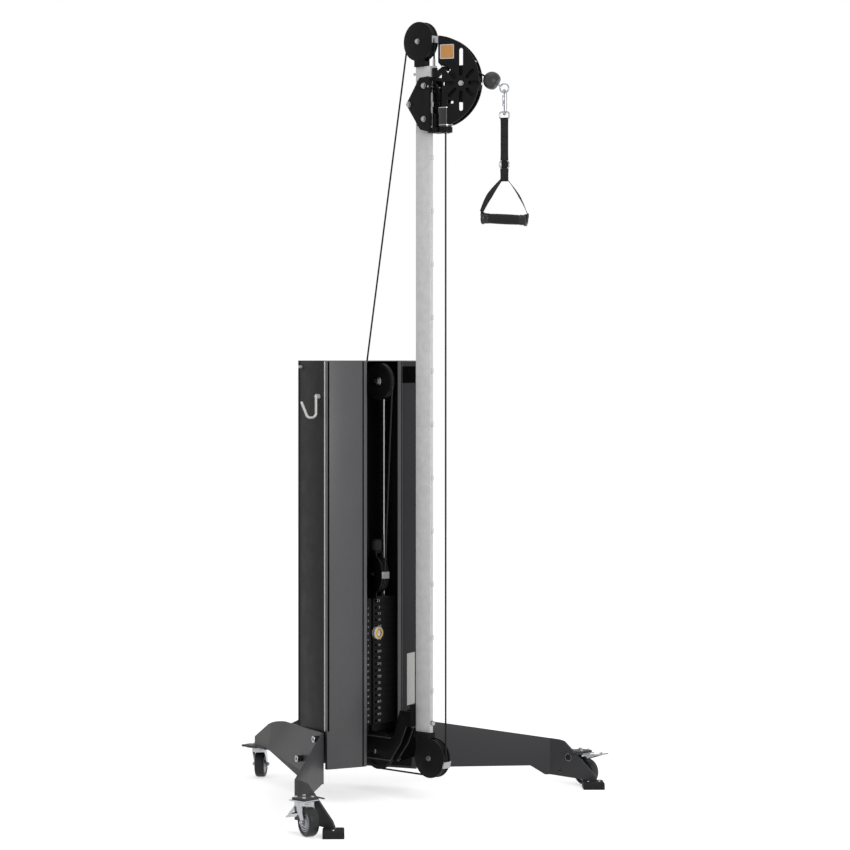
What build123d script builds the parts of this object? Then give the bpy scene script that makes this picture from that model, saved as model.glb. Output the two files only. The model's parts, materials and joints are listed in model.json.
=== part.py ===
from build123d import *
import math
import os

# Wheeled cable column. Millimetres, +Z up, -Y is the front where the user stands, +X to the right.
# Modelled about a point on the floor under the column bar, then moved as a whole at the end.

# Column bar
RAIL_HALF = 6.0
RAIL_FRONT = -25.0
RAIL_BACK = 33.0
RAIL_LOW = 212.0
NECK_REACH = 74.0
STUD_PITCH = 155.8
STUD_FIRST = 335.0
STUD_WIDTH = 7.0
STUD_DEPTH = 5.0
STUD_TALL = 14.6

# Cable and pulleys
CABLE_R = 2.6
GROOVE_GAP = 0.4
CABLE_SEAM = 0.4
WRAP_R = 53.0
RIM_PROUD = 2.0
PULLEY_HALF = 7.0
LIP = 2.5
CHEEK_R = 57.5
AXLE_R = 5.0
RUNNING = 0.05
TOP_Y, TOP_Z = 18.0, 2235.0
TOP_CHEEK_IN, TOP_CHEEK_OUT = 9.0, 13.0
LOW_Z = 139.0
LOW_CHEEK_IN, LOW_CHEEK_OUT = 10.5, 14.75
NECK_TALL = 16.0
TURN_Y, UPPER_Z = 188.0, 1238.0
GUIDE_X, GUIDE_Y = 24.0, 220.0
FLOAT_X, FLOAT_Y = 7.5, 208.0
FLOAT_RISE = 72.8
FLOAT_TURN = 18.1

# Swivelling head, turned from straight ahead
HEAD_Y = -81.0
HEAD_TURN = 26.0
HEAD_WRAP = 52.0
HEAD_RIM = 53.5
HEAD_DROP = 132.0
EXIT_ANGLE = 58.0
HUB_R = 22.0
HUB_GAP, HUB_TALL = 4.0, 54.0
SPIGOT_R = 13.0
DISC_IN, DISC_OUT = 15.0, 20.0
DISC_R = 134.0
DISC_BEHIND, DISC_RISE = 28.0, 7.0
DISC_ABOVE, DISC_OVERLAP = 142.0, 3.0
DISC_BACK, DISC_STEP, DISC_STEP_RISE = -17.0, -6.0, 62.0
EXIT_BARS = [(88, 63), (80, -56)]
BAR_R = 4.0
SLOT_WIDTH = 12.0
SLOT_ROOT, SLOT_TIP = 21.0, 54.0
SLOT_TIPS = {2: 102.0, 3: 80.0, 6: 80.0}
VENT_BACK, VENT_WIDTH, VENT_ROOT, VENT_PAST = 7.0, 26.0, 48.0, 5.0
NOTCH_RISE, NOTCH_R = 47.0, 15.0
BRIDGE_END, BRIDGE_TALL = 20.0, 10.0

# Carriage
CAR_IN, CAR_OUT = 23.0, 29.0
CAR_OUTLINE = [(51, -52), (-3, 23), (-44, 25), (-44, -138), (-6, -129)]
CAR_BOLTS = [(-22, -2), (-22, -99), (38, -53)]
CAR_BOLT_R = 4.0
PAD_GAP, PAD_HALF = 0.2, 18.0
ARM_DROP, ARM_TALL = 140.0, 15.0
LUG_RISE, LUG_TALL = 39.0, 12.0
LUG_HALF = 5.5
COLLAR_R = 20.0
HEAD_PIN_R = 4.0
TERMINAL_TALL = 26.0
LEVER_PIVOT = (-38.0, -5.0)
LEVER_PIN_R = 3.0
LEVER = [(4, 6), (-6, 9), (-14, -2), (-18, -22), (-19, -46), (-13, -52), (-11, -46), (-10, -24), (-5, -8),
         (4, -6)]
LEVER_RING = (-11.0, -58.0)

# Handle
BALL_R, BALL_FLAT = 26.0, 18.5
SLEEVE_R = 3.4
BALL_REACH = 71.0
RING_REACH = 115.0
RING_R, RING_WIRE = 12.75, 2.25
HOOK_WIRE, HOOK_HALF = 4.0, 10.0
HOOK_GAP = 0.5
HOOK_TALL = 69.0
GATE_SPAN, GATE_RISE, GATE_R = 31.0, 4.0, 3.2
DRING_WIRE, DRING_HALF, DRING_TALL = 2.0, 14.0, 20.0
WEB_THICK, WEB_WIDTH = 3.0, 22.5
ORING_R, ORING_WIRE, ORING_DROP = 14.4, 2.1, 237.0
LOOP_DROP, GRIP_DROP = 51.0, 107.0
GRIP_LONG, GRIP_R, GRIP_BORE = 135.0, 14.5, 10.0
GRIP_REACH = 15.5
GRIP_TILT = -3.5
CAP_R, CAP_LONG = 17.5, 8.0

# Weight stack
STACK_Z = 213.0
PLATE_HALF = 150.0
STACK_FRONT, STACK_BACK = 218.0, 318.0
PLATE_TALL = 18.8
PLATE_COUNT = 19
LIFTED_COUNT = 5
TOP_PLATE_TALL = 20.0
PLATE_CHAMFER = 1.2
ROD_X, ROD_R = 102.0, 9.75
STEM_X, STEM_R = 16.0, 12.5
PIN_R = 4.95
PIN_BORE = 5.0
CABLE_SLOT = 5.5
SLOT_DEEP = 30.0

# Base
LEG_THICK = 6.0
LEG_CORNER = (200.0, 225.0)
LEG_REAR = (25.0, 700.0)
LEG_BEND = (544.0, -17.0)
LEG_TIP = (560.0, -187.0)
LEG_TOP, LEG_LOW = 208.0, 57.0
LEG_SHOULDER = [(0.785, 23), (0.73, 14.5), (0.67, 8), (0.61, 3.5), (0.55, 1)]
LEG_END_TALL = 29.0
LEG_MID_TOP = 138.0
FLANGE_HALF, FLANGE_THICK, FLANGE_LOW, FLANGE_HIGH = 25.0, 6.0, 225.0, 290.0
BOLT_LOW, BOLT_HIGH = 240.5, 275.0
SPINE_IN, SPINE_OUT, SPINE_TOP = 14.0, 20.0, 269.0
CROSS_FRONT, CROSS_BACK = 252.0, 292.0
CROSS_LOW, CROSS_HIGH, CROSS_WALL = 112.0, 190.0, 4.0
CLEAT, CLEAT_IN, CLEAT_SPAN = 6.0, 8.0, (15.0, 165.0)
SHELF_HALF = 140.0
FOOT = (60.0, 64.0, 22.0)
FOOT_AT = (556.0, -178.0)

# Casters
WHEEL_R = 40.0
WHEEL_HALF = 15.0
FORK_TOP = 94.0
MOUNT_TALL = 4.0
MOUNT_HALF = 29.0
TAB_TALL = 6.0
FRONT_LIFT = 1.0
CASTER_AT = (591.0, -100.0)
REAR_CASTER_Y = 708.0
REAR_TAB_HALF, REAR_TAB_PAST = 40.0, 25.0
TAB_HALF, TAB_PAST = 24.0, 24.0

# Shroud
SHEET = 2.5
SHROUD_LOW, SIDE_LOW = 100.0, 208.5
SHROUD_OVER = 62.0
FRONT_PATH = [(66.5, 176.0), (80.0, 176.0), (192.0, 214.0), (188.8, 225.5)]
SIDE_PATH = [(188.0, 229.0), (145.0, 380.0)]
BEAM_FRONT, BEAM_BACK, BEAM_RISE, BEAM_TALL = 255.0, 285.0, 24.0, 28.0
TAB_X = (100.0, 112.0)
HANGER_R = 16.0

# Rod hook and its stop on the left side panel, below the panel's top and from its front edge
HANG_S, STOP_S = 32.0, 141.0
HANG_R, HANG_BEND, HANG_LEAN = 4.0, 14.0, 4.0
HANG_BOSS, HANG_BOSS_R, HANG_REACH = 10.0, 7.5, 58.0
HANG_DROPS = (106.0, 168.0, 124.0, 19.0)

HEAD_DIR = (math.sin(math.radians(HEAD_TURN)), -math.cos(math.radians(HEAD_TURN)))
LOW_Y = HEAD_Y + WRAP_R
STACK_MID = (STACK_FRONT + STACK_BACK) / 2
STACK_TOP = STACK_Z + PLATE_COUNT * PLATE_TALL
REST_COUNT = PLATE_COUNT - LIFTED_COUNT
PIN_Z = STACK_TOP - (LIFTED_COUNT - 0.5) * PLATE_TALL
STACK_CAP = STACK_TOP + TOP_PLATE_TALL
RIM_R = WRAP_R + RIM_PROUD
RAIL_HIGH = TOP_Z - NECK_REACH
STUD_COUNT = int((RAIL_HIGH - STUD_FIRST - STUD_TALL) // STUD_PITCH) + 1
HEAD_Z = TOP_Z - HEAD_DROP
ARM_LOW = HEAD_Z - ARM_DROP
ARM_HIGH = ARM_LOW + ARM_TALL
LUG_LOW = HEAD_Z + LUG_RISE
LUG_HIGH = LUG_LOW + LUG_TALL
HUB_LOW = ARM_HIGH + HUB_GAP
HUB_HIGH = HUB_LOW + HUB_TALL
LEVER_Z = HEAD_Z + LEVER_PIVOT[1]
ORING_Z = HEAD_Z - ORING_DROP
LOOP_LOW = ORING_Z - LOOP_DROP
GRIP_Z = LOOP_LOW - GRIP_DROP
FLOAT_Z = STACK_CAP + FLOAT_RISE
BEAM_LOW = UPPER_Z + BEAM_RISE
BEAM_HIGH = BEAM_LOW + BEAM_TALL
SHROUD_HIGH = UPPER_Z + SHROUD_OVER
parts = {}


# ---------------------------------------------------------------- helpers
def block(x0, x1, y0, y1, z0, z1):
    """A rectangular block between two corners."""
    return Pos((x0 + x1) / 2, (y0 + y1) / 2, (z0 + z1) / 2) * Box(x1 - x0, y1 - y0, z1 - z0)


def rod(start, end, radius):
    """A round bar from one point to another."""
    start, end = Vector(*start), Vector(*end)
    long = (end - start).length
    place = Plane(origin=start, z_dir=end - start)
    return place * Cylinder(radius, long, align=(Align.CENTER, Align.CENTER, Align.MIN))


def upright(start, toward):
    """A vertical plane through start whose first axis points toward another plan point."""
    run = Vector(toward[0] - start[0], toward[1] - start[1], 0).normalized()
    return Plane(origin=(start[0], start[1], 0), x_dir=run, z_dir=(run.Y, -run.X, 0))


def plate(plane, outline, low, high, corner=0.0):
    """A flat plate with a straight-edged outline, between two distances from a plane."""
    face = make_face(Polyline(*outline, close=True))
    if corner:
        face = fillet(face.vertices(), corner)
    return plane * Pos(0, 0, low) * extrude(face, high - low, dir=(0, 0, 1))


def disc(plane, u, v, radius, low, high):
    """A round plate on a plane."""
    return plane * Pos(u, v, (low + high) / 2) * Cylinder(radius, high - low)


def both(solid):
    """A solid and its mirror image on the other side of the machine."""
    return [solid, mirror(solid, Plane.YZ)]


def group(solids):
    """Separate solids kept together as one sub-part."""
    return Compound(children=[s for part in solids for s in part.solids()])


def strip(path, thick):
    """The closed outline of a bent strip of even thickness, mitred where the path bends."""
    sides = ([], [])
    for i, point in enumerate(path):
        here = Vector(*point)
        before = (here - Vector(*path[i - 1])).normalized() if i else None
        after = (Vector(*path[i + 1]) - here).normalized() if i + 1 < len(path) else before
        before = before or after
        mitre = (before + after).normalized()
        reach = thick / 2 / mitre.dot(after)
        across = Vector(-mitre.Y, mitre.X) * reach
        sides[0].append(here + across)
        sides[1].append(here - across)
    return [(p.X, p.Y) for p in sides[0] + sides[1][::-1]]


def sheet(path, thick, low, high):
    """A bent sheet standing on edge."""
    return plate(Plane.XY, strip(path, thick), low, high)


def pulley(place, wrap, rim, half):
    """A grooved wheel with a plain bore; wrap is the radius of the cable's centre line."""
    groove = CABLE_R + GROOVE_GAP
    bore = AXLE_R + RUNNING
    lip = half - LIP
    edge = Polyline((wrap, groove), (rim, lip), (rim, half), (bore, half), (bore, -half), (rim, -half),
                    (rim, -lip), (wrap, -groove))
    seat = ThreePointArc((wrap, -groove), (wrap - groove, 0), (wrap, groove))
    face = Plane.XZ * make_face(list(edge.edges()) + [seat])
    wheel = revolve(face, axis=Axis.Z)
    for side in (-1, 1):
        web = Pos(0, 0, side * half) * (Cylinder(wrap * 0.8, half * 0.6) - Cylinder(wrap * 0.3, half))
        wheel -= web
    return place * wheel


def wrap(place, radius, start, end):
    """Cable lying round a pulley between two angles."""
    section = Plane.XZ * Pos(radius, 0) * Circle(CABLE_R)
    return place * Rot(0, 0, start) * revolve(section, axis=Axis.Z, revolution_arc=end - start)


def loop(plane, u, low, high, half, corner, wire):
    """A closed ring of round wire, rectangular with rounded corners, standing on a plane."""
    outline = Pos(u, (low + high) / 2) * RectangleRounded(2 * half, high - low, corner)
    path = plane * outline.wire()
    return sweep(Plane(origin=path @ 0, z_dir=path % 0) * Circle(wire), path=path)


def along(plane, u, v, w=0.0):
    """The place of a point given on a plane."""
    return plane.from_local_coords(Vector(u, v, w))


SIDE = upright((0, 0), (0, 1))
HEAD = upright((0, HEAD_Y), (HEAD_DIR[0], HEAD_Y + HEAD_DIR[1]))
TILT = math.radians(FLOAT_TURN)
FLOAT = upright((FLOAT_X, FLOAT_Y), (FLOAT_X + math.sin(TILT), FLOAT_Y + math.cos(TILT)))
TOP_PULLEY = SIDE * Pos(TOP_Y, TOP_Z, 0)
LOW_PULLEY = SIDE * Pos(LOW_Y, LOW_Z, 0)
TURN_PULLEY = SIDE * Pos(TURN_Y, UPPER_Z, 0)
GUIDE_PULLEY = SIDE * Pos(GUIDE_Y, UPPER_Z, GUIDE_X)
BOTTOM_PULLEY = SIDE * Pos(TURN_Y, LOW_Z, 0)
FLOAT_PULLEY = FLOAT * Pos(0, FLOAT_Z, 0)
HEAD_PULLEY = HEAD * Pos(HEAD_WRAP, HEAD_Z, 0)


# ---------------------------------------------------------------- column bar
def column():
    parts["rail"] = block(-RAIL_HALF, RAIL_HALF, RAIL_FRONT, RAIL_BACK, RAIL_LOW, RAIL_HIGH)
    studs = []
    for i in range(STUD_COUNT):
        z = STUD_FIRST + i * STUD_PITCH
        studs.append(block(-STUD_WIDTH / 2, STUD_WIDTH / 2, RAIL_FRONT - STUD_DEPTH, RAIL_FRONT,
                           z - STUD_TALL / 2, z + STUD_TALL / 2))
    parts["rail_studs"] = group(studs)


def column_necks():
    """The fork that carries the top pulley and the one that carries the lower pulley."""
    top = block(-TOP_CHEEK_OUT, TOP_CHEEK_OUT, -5, RAIL_BACK, RAIL_HIGH, RAIL_HIGH + NECK_TALL)
    low = block(-LOW_CHEEK_OUT, LOW_CHEEK_OUT, RAIL_FRONT, RAIL_BACK, RAIL_LOW - NECK_TALL, RAIL_LOW)
    for low_w, high_w in ((-TOP_CHEEK_OUT, -TOP_CHEEK_IN), (TOP_CHEEK_IN, TOP_CHEEK_OUT)):
        top += disc(SIDE, TOP_Y, TOP_Z, CHEEK_R, low_w, high_w)
        top += block(low_w, high_w, -5, RAIL_BACK, RAIL_HIGH, TOP_Z)
    for low_w, high_w in ((-LOW_CHEEK_OUT, -LOW_CHEEK_IN), (LOW_CHEEK_IN, LOW_CHEEK_OUT)):
        low += disc(SIDE, LOW_Y, LOW_Z, CHEEK_R, low_w, high_w)
        low += block(low_w, high_w, RAIL_FRONT, RAIL_BACK - 8, LOW_Z, RAIL_LOW)
    top -= keeper(TOP_PULLEY, 178, TOP_CHEEK_OUT)
    low -= keeper(LOW_PULLEY, 195, LOW_CHEEK_OUT)
    top -= disc(SIDE, TOP_Y, TOP_Z, AXLE_R, -TOP_CHEEK_OUT, TOP_CHEEK_OUT)
    low -= disc(SIDE, LOW_Y, LOW_Z, AXLE_R, -LOW_CHEEK_OUT, LOW_CHEEK_OUT)
    parts["rail_necks"] = group([top, low])


def keeper(place, turn, reach):
    """A small steel plate across the cheeks' rims that keeps the cable in its groove."""
    return place * Rot(0, 0, turn) * Pos(CHEEK_R + 1, 0, 0) * Box(4, 20, 2 * reach)


def pulley_pins():
    """Axle bolts of the fixed pulleys, and the cable keepers."""
    pins = []
    for plane, y, z, reach in ((SIDE, TOP_Y, TOP_Z, TOP_CHEEK_OUT), (SIDE, LOW_Y, LOW_Z, LOW_CHEEK_OUT),
                               (SIDE, TURN_Y, LOW_Z, SPINE_OUT)):
        pin = disc(plane, y, z, AXLE_R, -reach, reach)
        pin += disc(plane, y, z, 8, reach, reach + 2)
        pin += disc(plane, y, z, 8, -reach - 2, -reach)
        pin += plate(plane * Pos(y, z), hexagon(6.5), reach + 2, reach + 7)
        pin += plate(plane * Pos(y, z), hexagon(6.5), -reach - 7, -reach - 2)
        pins.append(pin)
    turn = disc(SIDE, TURN_Y, UPPER_Z, AXLE_R, -PULLEY_HALF - 3, GUIDE_X / 2)
    turn += plate(SIDE * Pos(TURN_Y, UPPER_Z), hexagon(8), -PULLEY_HALF - 9, -PULLEY_HALF - 1)
    guide = disc(SIDE, GUIDE_Y, UPPER_Z, AXLE_R, GUIDE_X / 2, GUIDE_X + PULLEY_HALF + 3)
    face = GUIDE_X + PULLEY_HALF + 1
    guide += plate(SIDE * Pos(GUIDE_Y, UPPER_Z), hexagon(8), face, face + 8)
    pins += [turn, guide, keeper(TOP_PULLEY, 178, TOP_CHEEK_OUT), keeper(LOW_PULLEY, 195, LOW_CHEEK_OUT)]
    parts["pulley_axles"] = group(pins)


def hexagon(radius):
    """The outline of a hexagonal bolt head."""
    turns = [math.radians(60 * i) for i in range(6)]
    return [(radius * math.cos(turn), radius * math.sin(turn)) for turn in turns]


def pulleys():
    for name, place in (("column_top_pulley", TOP_PULLEY), ("column_low_pulley", LOW_PULLEY),
                        ("turn_pulley", TURN_PULLEY), ("guide_pulley", GUIDE_PULLEY),
                        ("bottom_pulley", BOTTOM_PULLEY), ("floating_pulley", FLOAT_PULLEY)):
        parts[name] = pulley(place, WRAP_R, RIM_R, PULLEY_HALF)
    parts["head_pulley"] = pulley(HEAD_PULLEY, HEAD_WRAP, HEAD_RIM, PULLEY_HALF)


# ---------------------------------------------------------------- cables
def cables():
    lean = math.degrees(math.atan2(GUIDE_Y - TOP_Y, TOP_Z - UPPER_Z))
    reach = (WRAP_R * math.cos(math.radians(lean)), WRAP_R * math.sin(math.radians(lean)))
    over = wrap(TOP_PULLEY, WRAP_R, lean, 180)
    over += rod((0, TOP_Y + reach[0], TOP_Z + reach[1]), (GUIDE_X, GUIDE_Y + reach[0], UPPER_Z + reach[1]),
                CABLE_R)
    over += wrap(GUIDE_PULLEY, WRAP_R, 0, lean)
    down = wrap(TURN_PULLEY, WRAP_R, 0, 180)
    down += rod((0, TURN_Y + WRAP_R, UPPER_Z), (0, TURN_Y + WRAP_R, LOW_Z), CABLE_R)
    down += wrap(BOTTOM_PULLEY, WRAP_R, -90, 0)
    down += rod((0, TURN_Y, LOW_Z - WRAP_R), (0, LOW_Y, LOW_Z - WRAP_R), CABLE_R)
    down += wrap(LOW_PULLEY, WRAP_R, -180, -90)
    parts["cable_fixed"] = group([over, down])

    rear = along(FLOAT, WRAP_R, FLOAT_Z)
    front = along(FLOAT, -WRAP_R, FLOAT_Z)
    lift = wrap(FLOAT_PULLEY, WRAP_R, -180, 0) + Pos(*rear) * Sphere(CABLE_R) + Pos(*front) * Sphere(CABLE_R)
    lift += rod((GUIDE_X, GUIDE_Y + WRAP_R, UPPER_Z - CABLE_SEAM), rear, CABLE_R)
    lift += rod(front, (0, TURN_Y - WRAP_R, UPPER_Z - CABLE_SEAM), CABLE_R)
    parts["cable_stack_runs"] = lift

    stem_y = TOP_Y - WRAP_R
    parts["cable_upper_run"] = rod((0, stem_y, LUG_HIGH + TERMINAL_TALL), (0, stem_y, TOP_Z), CABLE_R)
    parts["cable_lower_run"] = rod((0, HEAD_Y, LOW_Z), (0, HEAD_Y, ARM_LOW), CABLE_R)
    head = rod((0, HEAD_Y, ARM_LOW), along(HEAD, 0, HEAD_Z), CABLE_R)
    head += wrap(HEAD_PULLEY, HEAD_WRAP, EXIT_ANGLE, 180)
    parts["cable_head"] = head
    parts["cable_pull_run"] = rod(pull_point(0), pull_point(BALL_REACH), CABLE_R)


def pull_point(reach):
    """A point on the straight cable beyond the head pulley."""
    angle = math.radians(EXIT_ANGLE)
    u = HEAD_WRAP * (1 + math.cos(angle)) + reach * math.sin(angle)
    v = HEAD_Z + HEAD_WRAP * math.sin(angle) - reach * math.cos(angle)
    return along(HEAD, u, v)


# ---------------------------------------------------------------- carriage
def carriage():
    bolts_at = [(y, HEAD_Z + rise) for y, rise in CAR_BOLTS]
    outline = [(y, HEAD_Z + rise) for y, rise in CAR_OUTLINE]
    plates = []
    for low, high in ((-CAR_OUT, -CAR_IN), (CAR_IN, CAR_OUT)):
        side = plate(SIDE, outline, low, high, 8)
        for y, z in bolts_at:
            side -= disc(SIDE, y, z, CAR_BOLT_R, low, high)
        side -= disc(SIDE, LEVER_PIVOT[0], LEVER_Z, LEVER_PIN_R, low, high)
        plates.append(side)
    lower = block(-CAR_IN, CAR_IN, HEAD_Y + 15, RAIL_FRONT - STUD_DEPTH - 2, ARM_LOW, ARM_HIGH)
    lower += disc(Plane.XY, 0, HEAD_Y, COLLAR_R, ARM_LOW, ARM_HIGH)
    lower -= disc(Plane.XY, 0, HEAD_Y, SPIGOT_R + RUNNING, ARM_LOW, ARM_HIGH)
    front = CAR_OUTLINE[2][0]
    back = front + 12
    upper = plate(SIDE, [(back, LUG_LOW - 26), (front, LUG_LOW - 20), (HEAD_Y + 8, LUG_LOW),
                         (HEAD_Y + 8, LUG_HIGH), (HEAD_Y + 11, LUG_HIGH), (front + 4, LUG_LOW - 4),
                         (back, LUG_LOW - 10)], -LUG_HALF, LUG_HALF)
    upper += disc(Plane.XY, 0, HEAD_Y, 12, LUG_LOW, LUG_HIGH)
    upper += block(-CAR_IN, CAR_IN, front, back, LUG_LOW - 26, LUG_LOW - 16)
    upper += block(-LUG_HALF, LUG_HALF, front, back, LUG_LOW - 16, LUG_HIGH)
    upper -= disc(Plane.XY, 0, HEAD_Y, HEAD_PIN_R + RUNNING, LUG_LOW - 1, LUG_HIGH + 1)
    parts["carriage_frame"] = plates[0] + plates[1] + lower + upper

    pads = []
    for y, z in bolts_at[:2]:
        pad = block(RAIL_HALF + PAD_GAP, CAR_IN, y - 2, y + 34, z - PAD_HALF, z + PAD_HALF)
        pad += block(STUD_WIDTH / 2 + 0.7, CAR_IN, y - 9, RAIL_FRONT - PAD_GAP, z - PAD_HALF, z + PAD_HALF)
        pads += both(pad - disc(SIDE, y, z, CAR_BOLT_R, 0, CAR_IN))
    parts["carriage_slides"] = group(pads)

    bolts = []
    for y, z in bolts_at:
        near = RAIL_HALF + 0.5
        spans = ((-CAR_OUT, -near), (near, CAR_OUT)) if y < 0 else ((-CAR_OUT, CAR_OUT),)
        for low, high in spans:
            bolt = disc(SIDE, y, z, CAR_BOLT_R, low, high)
            for side, edge in ((-1, low), (1, high)):
                if abs(edge) == CAR_OUT:
                    bolt += bolt_head(SIDE, y, z, edge, side, 8.5, 7)
            bolts.append(bolt)
    bolts.append(disc(SIDE, LEVER_PIVOT[0], LEVER_Z, LEVER_PIN_R, -CAR_OUT - 1, CAR_OUT + 1))
    parts["carriage_bolts"] = group(bolts)

    place = SIDE * Pos(LEVER_PIVOT[0], LEVER_Z)
    lever = plate(place, LEVER, -4, 4, 1.5) - disc(place, 0, 0, LEVER_PIN_R + RUNNING, -4, 4)
    parts["release_lever"] = lever + place * Pos(*LEVER_RING) * Torus(8, 2.2)

    stem_y = TOP_Y - WRAP_R
    terminal = rod((0, stem_y, LUG_HIGH), (0, stem_y, LUG_HIGH + TERMINAL_TALL), 4)
    terminal += block(-6.5, 6.5, stem_y - 6, stem_y + 4, LUG_HIGH, LUG_HIGH + 6)
    parts["cable_terminal"] = terminal


def bolt_head(plane, u, v, edge, side, washer, head):
    """A washer and a hexagonal head standing out of a face, on the side given by its sign."""
    levels = [edge, edge + side * 2, edge + side * 7]
    under = disc(plane, u, v, washer, min(levels[:2]), max(levels[:2]))
    return under + plate(plane * Pos(u, v), hexagon(head), min(levels[1:]), max(levels[1:]))


# ---------------------------------------------------------------- head
def head():
    hub = disc(Plane.XY, 0, HEAD_Y, HUB_R, HUB_LOW, HUB_HIGH)
    hub = chamfer(hub.edges().filter_by(GeomType.CIRCLE), 1.5)
    hub += disc(Plane.XY, 0, HEAD_Y, HUB_R - 4, ARM_HIGH + 0.5, HUB_LOW)
    hub += disc(Plane.XY, 0, HEAD_Y, SPIGOT_R, ARM_LOW - 3, ARM_HIGH + 0.5)
    hub -= disc(Plane.XY, 0, HEAD_Y, CABLE_R + 2.4, ARM_LOW - 4, HUB_HIGH + 1)
    parts["swivel_hub"] = hub

    plates = []
    low, top, step = HUB_LOW + DISC_OVERLAP, HEAD_Z + DISC_ABOVE, HEAD_Z + DISC_STEP_RISE
    cut = make_face(Polyline((DISC_STEP, low), (DISC_STEP, step - 12), (DISC_BACK, step), (DISC_BACK, top),
                             (DISC_R, top), (DISC_R, low), close=True))
    outline = (Pos(-DISC_BEHIND, HEAD_Z + DISC_RISE) * Circle(DISC_R)) & cut
    outline -= Pos(HEAD_WRAP, HEAD_Z) * Circle(AXLE_R)
    outline -= window()
    for i in range(8):
        tip = SLOT_TIPS.get(i, SLOT_TIP)
        turn = Pos(HEAD_WRAP, HEAD_Z) * Rot(0, 0, 45 * i)
        outline -= turn * Pos((SLOT_ROOT + tip) / 2, 0) * SlotOverall(tip - SLOT_ROOT, SLOT_WIDTH)
    for low, shape in ((-DISC_OUT, outline - vents()), (DISC_IN, outline)):
        side = HEAD * Pos(0, 0, low) * extrude(shape, DISC_OUT - DISC_IN, dir=(0, 0, 1))
        plates.append(side - disc(Plane.XY, 0, HEAD_Y, HUB_R, HUB_LOW, HUB_HIGH))
    low = LUG_HIGH + 2
    high = low + BRIDGE_TALL
    bridge = plate(HEAD, [(DISC_STEP, low), (BRIDGE_END, low), (BRIDGE_END, high), (DISC_STEP, high)],
                   -DISC_IN, DISC_IN)
    parts["head_plates"] = group([plates[0] + plates[1] + bridge])


def vents():
    """The wider openings of the inner plate: behind its long slots, and a notch in its straight edge."""
    opening = Pos(0, HEAD_Z + NOTCH_RISE) * Circle(NOTCH_R)
    for i in (2, 6):
        long = SLOT_TIPS[i] + VENT_PAST - VENT_ROOT
        turn = Pos(HEAD_WRAP - VENT_BACK, HEAD_Z) * Rot(0, 0, 45 * i)
        opening += turn * Pos(VENT_ROOT + long / 2, 0) * SlotOverall(long, VENT_WIDTH)
    return opening


def window():
    """The small domed opening above the hub."""
    sill = HUB_HIGH + 9
    dome = Pos(19.5, sill + 5) * Circle(9.5) & Pos(19.5, sill + 8) * Rectangle(19, 6)
    return Pos(19.5, sill + 2.5) * Rectangle(19, 5) + dome


def head_fittings():
    bolt = disc(HEAD, HEAD_WRAP, HEAD_Z, AXLE_R, -DISC_OUT, DISC_OUT)
    for side in (-1, 1):
        bolt += bolt_head(HEAD, HEAD_WRAP, HEAD_Z, side * DISC_OUT, side, 10, 8)
    pin = rod((0, HEAD_Y, LUG_LOW), (0, HEAD_Y, LUG_HIGH + 2), HEAD_PIN_R)
    parts["head_fasteners"] = group([bolt, pin])
    bars = [disc(HEAD, u, HEAD_Z + rise, BAR_R, -DISC_IN, DISC_IN) for u, rise in EXIT_BARS]
    parts["exit_guides"] = group(bars)


# ---------------------------------------------------------------- handle
def cable_end():
    centre = pull_point(BALL_REACH)
    out = pull_point(RING_REACH) - centre
    place = Plane(origin=centre, z_dir=out)
    ball = place * (Sphere(BALL_R) - Pos(0, 0, BALL_R + BALL_FLAT) * Box(4 * BALL_R, 4 * BALL_R, 2 * BALL_R))
    parts["ball_stop"] = ball - place * Pos(0, 0, -BALL_R) * Cylinder(CABLE_R, 2 * BALL_R)
    sleeve_long = RING_REACH - BALL_REACH - RING_R
    u, v = ring_place()
    ring = HEAD * Pos(u, v) * Torus(RING_R, RING_WIRE)
    base = (Align.CENTER, Align.CENTER, Align.MIN)
    ring += place * Pos(0, 0, BALL_FLAT) * Cylinder(SLEEVE_R, sleeve_long - BALL_FLAT, align=base)
    parts["end_ring"] = ring


def ring_place():
    """Centre of the end ring on the head's plane."""
    local = HEAD.to_local_coords(pull_point(RING_REACH))
    return local.X, local.Y


def hook_levels():
    """Heights of the centre lines at the top and bottom of the snap hook."""
    top = ring_place()[1] - RING_R + RING_WIRE + HOOK_WIRE + HOOK_GAP
    return top, top - HOOK_TALL


def snap():
    u = ring_place()[0]
    top, bottom = hook_levels()
    spot = along(HEAD, u, 0)
    across = upright((spot.X, spot.Y), (spot.X + HEAD.z_dir.X, spot.Y + HEAD.z_dir.Y))
    hook = loop(across, 0, bottom, top, HOOK_HALF, HOOK_HALF - 0.1, HOOK_WIRE)
    middle = (top + bottom) / 2 + GATE_RISE
    hook -= across * Pos(HOOK_HALF, middle, 0) * Box(HOOK_HALF, GATE_SPAN, 3 * HOOK_WIRE)
    parts["snap_hook"] = hook
    end = GATE_SPAN / 2 - HOOK_GAP
    pivot = middle - end + GATE_R
    gate = rod(along(across, HOOK_HALF, pivot), along(across, HOOK_HALF, middle + end), GATE_R)
    parts["snap_gate"] = gate + across * Pos(HOOK_HALF, pivot, 0) * Sphere(GATE_R)


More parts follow.
